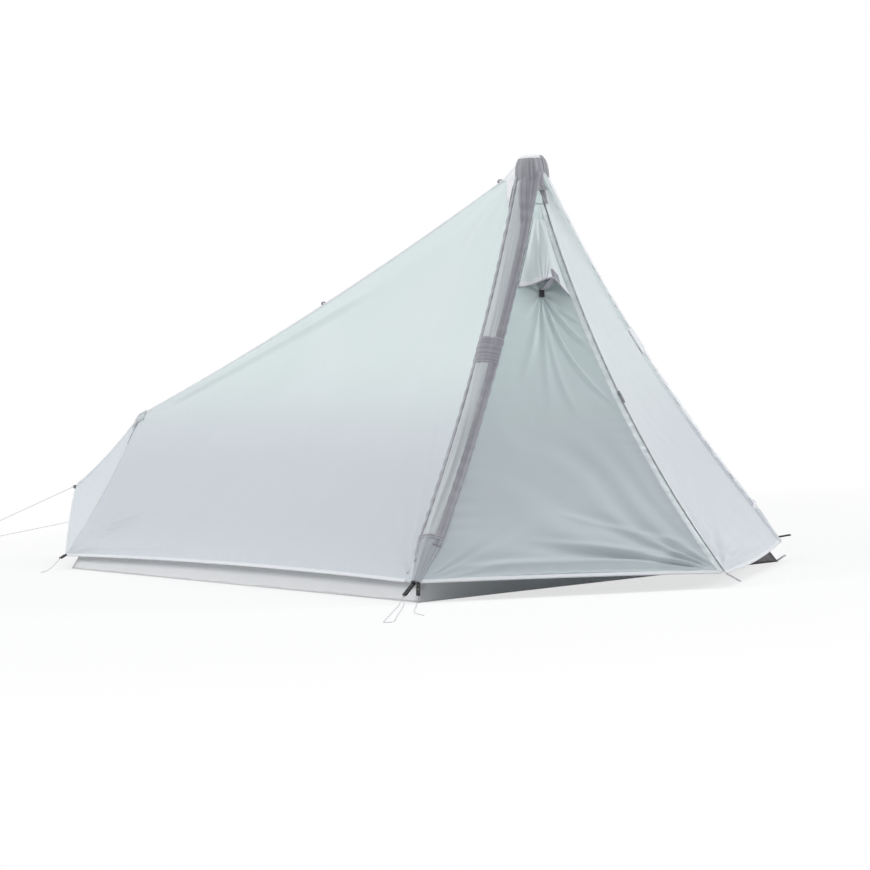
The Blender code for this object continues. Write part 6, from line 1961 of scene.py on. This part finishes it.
@dataclass
class Peak:
    """Cap over the meeting sleeves, its rim and hem, the patch behind it, the zip's flap and the ridge loops."""

    stitching: Stitching
    sides: dict[str, Cloth]
    half_length: float = 0.043
    half_width: float = 0.047
    rise: float = 0.0965
    skirt: float = -0.06
    plan_power: float = 2.4
    fold: float = 0.0022
    rim_from: float = 0.78
    patch_u: Pair = (0.932, 0.997)
    patch_drop: float = 0.16
    patch_rise: float = 0.015

    @property
    def core(self) -> Array:
        """Point inside the cap that its outer faces look away from."""
        return np.array((PLAN.peak[0], 0.0, PLAN.cap_hem + self.rise * 0.2))

    def skin(self, climb: Array, turn: Array, lift: Array | float = 0.0) -> Array:
        """Points of the cap; climb is 0 at the hem line, 1 at the crown and negative down the skirt."""
        climb, turn = both(climb, turn)
        rising = math.pi / 2 * np.clip(climb, 0.0, 1 - 1e-7) ** 2
        height = np.where(climb < 0, climb, np.sqrt(np.sin(rising)))
        share = np.sqrt(np.cos(rising))
        x = np.copysign(np.abs(np.cos(turn)) ** (2 / self.plan_power), np.cos(turn)) * self.half_length
        y = np.copysign(np.abs(np.sin(turn)) ** (2 / self.plan_power), np.sin(turn)) * self.half_width
        fold = self.fold * np.sin(turn * 13 + 1.3 * np.sin(turn * 3)) * (1 - 0.6 * height)
        grow = share * (1 + (fold + lift) / 0.06)
        z = PLAN.cap_hem + self.rise * height + lift * (height > 0.9)
        return np.stack((PLAN.peak[0] + x * grow, y * grow, z), axis=-1)

    def wrapped(self, name: str, climbs: Array, lift: float, finish: Finish, stands_for: Sequence[str] = ()) -> Piece:
        """Closed ring of cloth round the cap.

        Args:
            name, finish, stands_for: As for settle.
            climbs: Rows of the ring.
            lift: How far it stands off the cap's skin.

        Returns:
            The ring's object.
        """
        turn, climb = np.meshgrid(np.linspace(0, TURN, 160, endpoint=False), climbs)
        points = self.skin(climb, turn, lift)
        normals = unit(points - self.core)
        vertices, faces = shell(points, normals, 0.0009, closed=True)
        uv = np.stack((turn * 0.045, climb * self.rise), axis=-1).reshape(-1, 2)
        made = make_mesh(name, vertices, faces, np.concatenate((uv, uv)))
        face_outwards(made)
        return settle(made, "tent", "fly_cloth", finish, stands_for)

    def cap(self) -> None:
        """Grey cap, pale rim over its crown, hem, and a dark strip down its front that paints the shade beside the top
        of the zip.
        """
        up = np.concatenate((np.linspace(self.skirt, 0.0, 7)[:-1], np.linspace(0.0, 1.0, 50)))
        cap = self.wrapped("peak_cap_cloth", up, 0.0, CAP_CLOTH, ("peak_cap",))
        rim = self.wrapped("peak_rim", np.linspace(self.rim_from, 1.0, 18), 0.001, RIM_CLOTH)
        rows = self.stitching.kept("tent", "peak")
        out = unit(self.skin(0.2, np.linspace(0, TURN, 161)) - self.core)
        turn, climb = np.meshgrid(np.linspace(0, TURN, 161), np.linspace(self.skirt + 0.004, self.skirt + 0.1, 5),
                                  indexing="ij")
        hem = strip("peak_hem", self.skin(climb, turn, 0.0004), np.repeat(out[:, None], 5, axis=1), 0.0006, SEAM_DEPTH,
                    27, rows)
        settle(hem, "tent", "fly_cloth", CAP_CLOTH)
        declare_sheet((0.26, 0.3), ("peak_cup", "near_pole_sleeve"))
        # Painted shade: a dark grey strip down the cap's front, beside the top of the zip.
        climb, turn = np.meshgrid(np.linspace(0.86, self.skirt, 40), np.radians(np.linspace(12, 34, 7)), indexing="ij")
        points = self.skin(climb, turn, 0.0012)
        normals = unit(points - self.core)
        settle(strip("peak_front_shade_strip", points, normals, 0.001, 0.0022, 28, rows), "tent", "grey_cloth", GREY_CLOTH)

    def patch(self) -> None:
        """Saddle of cloth over the ridge behind the cap."""
        along = np.linspace(0.0, 1.0, 40)[:, None]
        reach = np.linspace(1.0, 0.0, 12)[None, :]
        low, high = self.patch_u
        u = np.broadcast_to(low + (high - low) * along, (40, 12))
        halves = []
        for cloth in self.sides.values():
            away = self.patch_drop * along**1.6 * reach + 1e-4
            share_u, share_v = cloth.beside(Side.TOP, np.broadcast_to(away, (40, 12)), u)
            lift = self.patch_rise * ease((u - low) / 0.04) * (1 - reach) ** 0.7
            points = cloth.skin(share_u, share_v) + cloth.normals(share_u, share_v) * 0.0013
            halves.append(points + UP * lift[..., None])
        middle = (halves[0][:, -1:] + halves[1][:, -1:]) / 2
        points = np.concatenate((halves[0][:, :-1], middle, halves[1][:, -2::-1]), axis=1)
        normals = unit(np.cross(np.gradient(points, axis=1), np.gradient(points, axis=0)))
        normals = normals * np.sign(normals[20, 11, 2])
        made = strip("peak_patch", points, normals, 0.0004, 0.0009, 29, self.stitching.kept("tent", "peak"))
        settle(made, "tent", "fly_cloth", RIM_CLOTH)
        declare_sheet((0.2, 0.32), ("near_side_panel", "far_side_panel"))

    def flap(self, far: Cloth) -> None:
        """Dark flap over the top of the zip."""
        low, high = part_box("zip_top_flap")
        line = zip_line()
        top = line.share_at_height(PLAN.porch_top)
        first, last = line.share_at_height(low[2] + 0.002) / top, 0.999
        away, run = np.meshgrid(np.linspace(0.015, -0.0026, 8), np.linspace(first, last, 30))
        u, run = far.beside(Side.RIGHT, np.maximum(away, 0.0), run)
        points, normals = far.skin(u, run), far.normals(u, run)
        points = points - ACROSS * np.maximum(-away, 0.0)[..., None]
        made = strip("zip_top_cover", points, normals, 0.0026, 0.0012, 0)
        settle(made, "tent", "grey_cloth", GREY_CLOTH, ("zip_top_flap",))

    def loops(self) -> None:
        """Webbing loops on the ridge."""
        line = ridge_line()
        for name, share in (("ridge_loop_middle", 0.505), ("ridge_loop_front", 0.93)):
            along = line.tangents(np.array(share))
            upward = aimed(unit(np.cross(along, ACROSS)), UP)
            turn = np.linspace(-0.35, math.pi + 0.35, 26)
            path = line.points(np.array(share)) + upward * 0.0003
            path = path + np.outer(0.008 * np.cos(turn), along) + np.outer(0.0026 + 0.0052 * np.sin(turn), upward)
            out = unit(np.outer(np.cos(turn), along) + np.outer(np.sin(turn), upward))
            points = path[:, None] + ACROSS * np.linspace(-0.0035, 0.0035, 6)[None, :, None]
            made = strip(name + "_webbing", points, np.repeat(out[:, None], 6, axis=1), 0.0008, 0.0014, 0)
            settle(made, "tent", "grey_cloth", GREY_TAPE, (name,))

    def build(self, far: Cloth) -> None:
        """Whole peak."""
        self.cap()
        self.patch()
        self.flap(far)
        self.loops()


# Fittings


@dataclass
class Fittings:
    """Adjusters, loops, small patches, the eyelet at the head corner, and the zip's slider and pull."""

    near: Cloth
    eyelet_at: Pair = (0.984, 0.022)
    eyelet_radius: float = 0.0036
    eyelet_wire: float = 0.001

    def copies(self) -> None:
        """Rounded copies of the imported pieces, in their own finishes."""
        slots = {part["node"]: part["material_slot"] for part in frame["record"]["subparts"]}
        chosen = {
            "near_head_adjuster": PLASTIC, "far_head_adjuster": PLASTIC, "near_foot_adjuster": PLASTIC,
            "near_head_strap": DARK_TAPE, "porch_loop": GREY_TAPE, "inner_foot_tab": GREY_TAPE,
            "far_floor_loop": PALE_TAPE, "beak_tip_tab": DARK_TAPE, "foot_ridge_patch": SLEEVE_CLOTH,
        }
        wider = {"near_head_adjuster": (1.35, 1.1, 1.0), "near_head_strap": (1.9, 1.6, 1.0),
                 "near_foot_adjuster": (1.0, 1.25, 1.25)}
        for node, finish in chosen.items():
            rounded_copy(node + "_made", node, finish, slot=slots[node], stretch=wider.get(node, (1.0, 1.0, 1.0)))
        for node in ("zip_slider", "zip_pull"):
            rounded_copy(node + "_made", node, SLIDER, node, slots[node], 0.0005)

    def eyelet(self) -> None:
        """Metal ring at the hem corner that the stake strap passes."""
        u, v = np.array(self.eyelet_at[0]), np.array(self.eyelet_at[1])
        centre, normal = self.near.skin(u, v), self.near.normals(u, v)
        first = unit(np.cross(normal, UP))
        turn = np.linspace(0, TURN, 40)
        ring = np.outer(np.cos(turn), first) + np.outer(np.sin(turn), np.cross(normal, first))
        made = tube("head_eyelet", centre + normal * 0.0014 + ring * self.eyelet_radius, self.eyelet_wire, caps=False)
        settle(made, "tent", "alloy", ALLOY)

    def build(self) -> None:
        """All fittings."""
        self.copies()
        self.eyelet()


# Inner tent


@dataclass
class InnerTent:
    """Mesh tent under the fly: walls, hinged mesh door, ridge tape and the floor tub."""

    wall_height: float = 0.1
    wall_lean: float = 0.06
    head_width: float = 1.268
    foot_width: float = 0.69
    foot_inset: float = 0.02
    peak_drop: float = 0.13
    peak_back: float = 0.02
    top_width: float = 0.024
    foot_height: float = 0.4
    edge_bow: float = 0.045
    belly: float = 0.022
    seam_gap: float = 0.0006
    door_u: Pair = (0.25, 0.66)
    door_v: Pair = (0.1, 0.62)
    tub_cloth: float = 0.0018
    tub_crease: float = 0.0022
    dark_corner: Pair = (1.185, 0.42)

    def rim(self, end: int, side: int, share: float = 1.0) -> Array:
        """Corner of the tub between the ground (0) and its rim (1)."""
        width = self.head_width if end > 0 else self.foot_width
        x = PLAN.head_x if end > 0 else -PLAN.head_x + self.foot_inset
        lean = self.wall_lean * share
        return np.array((x - end * lean * 0.6, side * (width / 2 - lean), self.wall_height * share))

    def peak(self, side: int) -> Array:
        """Top corner at the head."""
        return np.array((PLAN.peak[0] - self.peak_back, side * self.top_width / 2, PLAN.peak_height - self.peak_drop))

    def foot_top(self, side: int) -> Array:
        """Top corner at the foot."""
        return np.array((-PLAN.head_x + self.foot_inset + 0.01, side * self.top_width / 2, self.foot_height))

    @staticmethod
    def straight(start: Array, end: Array) -> Edge:
        """Straight edge."""
        return lambda share: start + (end - start) * np.asarray(share, float)[..., None]

    def surfaces(self) -> dict[str, Surface]:
        """Shapes of all walls."""
        rim = {(end, side): self.rim(end, side) + UP * self.seam_gap for end in (1, -1) for side in (-1, 1)}
        head = aimed(unit(np.cross(rim[1, 1] - rim[1, -1], self.peak(-1) - rim[1, -1])), FORWARD)
        foot = aimed(unit(np.cross(rim[-1, 1] - rim[-1, -1], self.foot_top(-1) - rim[-1, -1])), -FORWARD)
        walls, edges = {}, {}
        for side in (-1, 1):
            face = unit(np.cross(rim[1, side] - rim[-1, side], self.peak(side) - rim[-1, side]))
            face = aimed(face, ACROSS * side)
            edges[1, side] = Arc.between(rim[1, side], self.peak(side), -(head + face), self.edge_bow).points
            edges[-1, side] = Arc.between(rim[-1, side], self.foot_top(side), -(foot + face), 0.01).points
            walls["near" if side < 0 else "far"] = Surface(
                edges[-1, side], edges[1, side], self.straight(rim[-1, side], rim[1, side]),
                self.straight(self.foot_top(side), self.peak(side)), face, self.belly)
        walls["head"] = Surface(edges[1, -1], edges[1, 1], self.straight(rim[1, -1], rim[1, 1]),
                                self.straight(self.peak(-1), self.peak(1)), head, 0.0)
        walls["foot"] = Surface(edges[-1, -1], edges[-1, 1], self.straight(rim[-1, -1], rim[-1, 1]),
                                self.straight(self.foot_top(-1), self.foot_top(1)), foot, 0.006)
        return walls

    def walls(self) -> None:
        """Mesh walls, the hinged mesh door and the ridge tape."""
        surfaces = self.surfaces()
        gap, mesh = (0.0008, 0.0008, 0.0, 0.0), {"slot": "inner_mesh", "thickness": 0.0006}
        folds = (Swell(0.0016, 0.18, 0.6, 81, 0.1), Fan(1.0, 1.0, 0.002, 0.2, 7, 83))
        head, doorway = Cloth(surfaces["head"]), (*self.door_u, *self.door_v)
        for name, cloth, flat, carriers, divisions, window in (
            ("near", Cloth(surfaces["near"], folds), (2.45, 1.2), ("floor_tub", "inner_ridge_tape"), (90, 50), None),
            ("far", Cloth(surfaces["far"], folds), (2.45, 1.2), ("floor_tub", "inner_ridge_tape"), (90, 50), None),
            ("foot", Cloth(surfaces["foot"]), (0.62, 0.34), ("floor_tub",), (24, 24), None),
            ("head", head, (1.2, 1.0), ("floor_tub",), (70, 70), doorway),
        ):
            sheet_panel(f"inner_{name}_net", f"inner_{name}_wall", cloth, NET, flat, carriers, divisions, insets=gap,
                        window=window, **mesh)
        sheet_panel("inner_door_net", "inner_door", head, NET, (0.48, 0.56), ("inner_head_wall",), (40, 40), doorway,
                    (0.0006,) * 4, "inner_door", **mesh)
        along, across = np.meshgrid(np.linspace(-0.0395, 0.999, 80), np.linspace(-1, 1, 7), indexing="ij")
        start = (self.foot_top(-1) + self.foot_top(1)) / 2
        end = (self.peak(-1) + self.peak(1)) / 2
        points = start + (end - start) * along[..., None] + ACROSS * (across * 0.0155)[..., None]
        normal = aimed(unit(np.cross(end - start, ACROSS)), UP)
        made = strip("ridge_tape", points, np.broadcast_to(normal, points.shape), 0.0022, 0.0012, 0)
        settle(made, "tent", "grey_cloth", GREY_TAPE, ("inner_ridge_tape",))

    def tub(self) -> None:
        """Floor and low walls as one folded cloth."""
        order = ((1, -1), (1, 1), (-1, 1), (-1, -1))
        rings = []
        for share in np.linspace(1.0, 0.0, 14):
            corners = [self.rim(end, side, share) for end, side in order]
            ring = []
            for start, stop in zip(corners, corners[1:] + corners[:1]):
                step = np.linspace(0, 1, 60, endpoint=False)[:, None]
                edge = start + (stop - start) * step
                inward = unit(np.cross(UP, stop - start))
                slack = 0.0035 * share * np.sin(step * math.pi) ** 0.5
                slack = slack * (0.4 + 0.6 * drift(step * 2.4, step * 0, 91, 0.2, 0.7))
                ring.append(edge + inward * np.abs(slack))
            rings.append(np.concatenate(ring))
        rings = np.array(rings)
        middle = rings[-1].mean(axis=0)
        floor = [middle + (rings[-1] - middle) * share for share in (0.985, 0.9, 0.75, 0.55, 0.3, 0.02)]
        outer = np.concatenate((rings, np.array(floor)))
        outer[len(rings) - 1:, :, 2] = 0.0
        inner = outer.copy()
        centre = middle + UP * 0.4
        inner[:len(rings)] += unit((centre - outer[:len(rings)]) * (1, 1, 0)) * self.tub_cloth
        ground = outer[len(rings) - 1:]
        creased = self.tub_crease * np.abs(drift(ground[..., 0], ground[..., 1], 93, 0.15, 0.6))
        inner[len(rings) - 1:, :, 2] = self.tub_cloth + creased
        rows, count = outer.shape[:2]
        index, quads = cells(rows, count, True)
        total = rows * count
        rim = np.stack((index[0, 1:], index[0, :-1], index[0, :-1] + total, index[0, 1:] + total), axis=-1)
        faces = np.concatenate((quads, quads[:, ::-1] + total, rim)).tolist()
        crown = index[-1, :-1].tolist()
        faces += [crown, [corner + total for corner in reversed(crown)]]
        vertices = np.concatenate((outer.reshape(-1, 3), inner.reshape(-1, 3)))
        made = make_mesh("tub_cloth", vertices, faces, vertices[:, :2] + vertices[:, 2:] * 0.7)
        face_outwards(made)
        settle(made, "tent", "floor_cloth", GROUND_CLOTH, ("floor_tub",))
        made.data.materials.append(TUB_CLOTH.material())
        centres = np.zeros(len(made.data.polygons) * 3)
        made.data.polygons.foreach_get("center", centres)
        centres = centres.reshape(-1, 3)
        far_corner = (centres[:, 0] > self.dark_corner[0]) & (centres[:, 1] > self.dark_corner[1])
        walls = (centres[:, 2] > 0.0003) & ~far_corner
        made.data.polygons.foreach_set("material_index", walls.astype(np.int32))
        declare_sheet((2.62, 1.46), ("inner_near_wall", "inner_far_wall"))

    def build(self) -> None:
        """Whole inner tent."""
        self.walls()
        self.tub()


def carry_over() -> None:
    """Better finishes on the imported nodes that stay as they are."""
    finishes = {"fly_cloth": FLY, "grey_cloth": GREY_TAPE, "inner_mesh": NET, "floor_cloth": GROUND_CLOTH,
                "black_plastic": PLASTIC, "grip_foam": GRIP, "alloy": ALLOY, "cord": CORD}
    slots = {part["node"]: part["material_slot"] for part in frame["record"]["subparts"]}
    for name, node in frame["nodes"].items():
        if not node.hide_render:
            for held in node.material_slots:
                held.material = finishes[slots[name]].material()


def main() -> None:
    """Builds the tent in order."""
    logging.basicConfig(level=logging.INFO)
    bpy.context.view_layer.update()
    Studio().build()
    Lines().build()
    stitching = Stitching()
    fly = Fly(stitching)
    fly.build()
    for name, seed, look in (("near", 3, SleeveLook(SLEEVE_CLOTH, POCKET_CLOTH, GREY_TAPE, GREY_CLOTH, (-16.0, 56.0))),
                             ("far", 4, SleeveLook(FLY, FLY, HEM_CLOTH, HEM_CLOTH, (24.0, 62.0)))):
        PoleSleeve(name, seed, look, stitching).build()
    door = Door(fly.porch_cloths["near"], stitching)
    door.build()
    door.zip_side("far", "tent", 1, 1.0, fly.porch_cloths["far"], "far_zip_tape")
    Peak(stitching, fly.side_cloths).build(fly.porch_cloths["far"])
    InnerTent().build()
    Fittings(fly.side_cloths["near"]).build()
    stitching.build()
    carry_over()


if __name__ == "__main__":
    main()
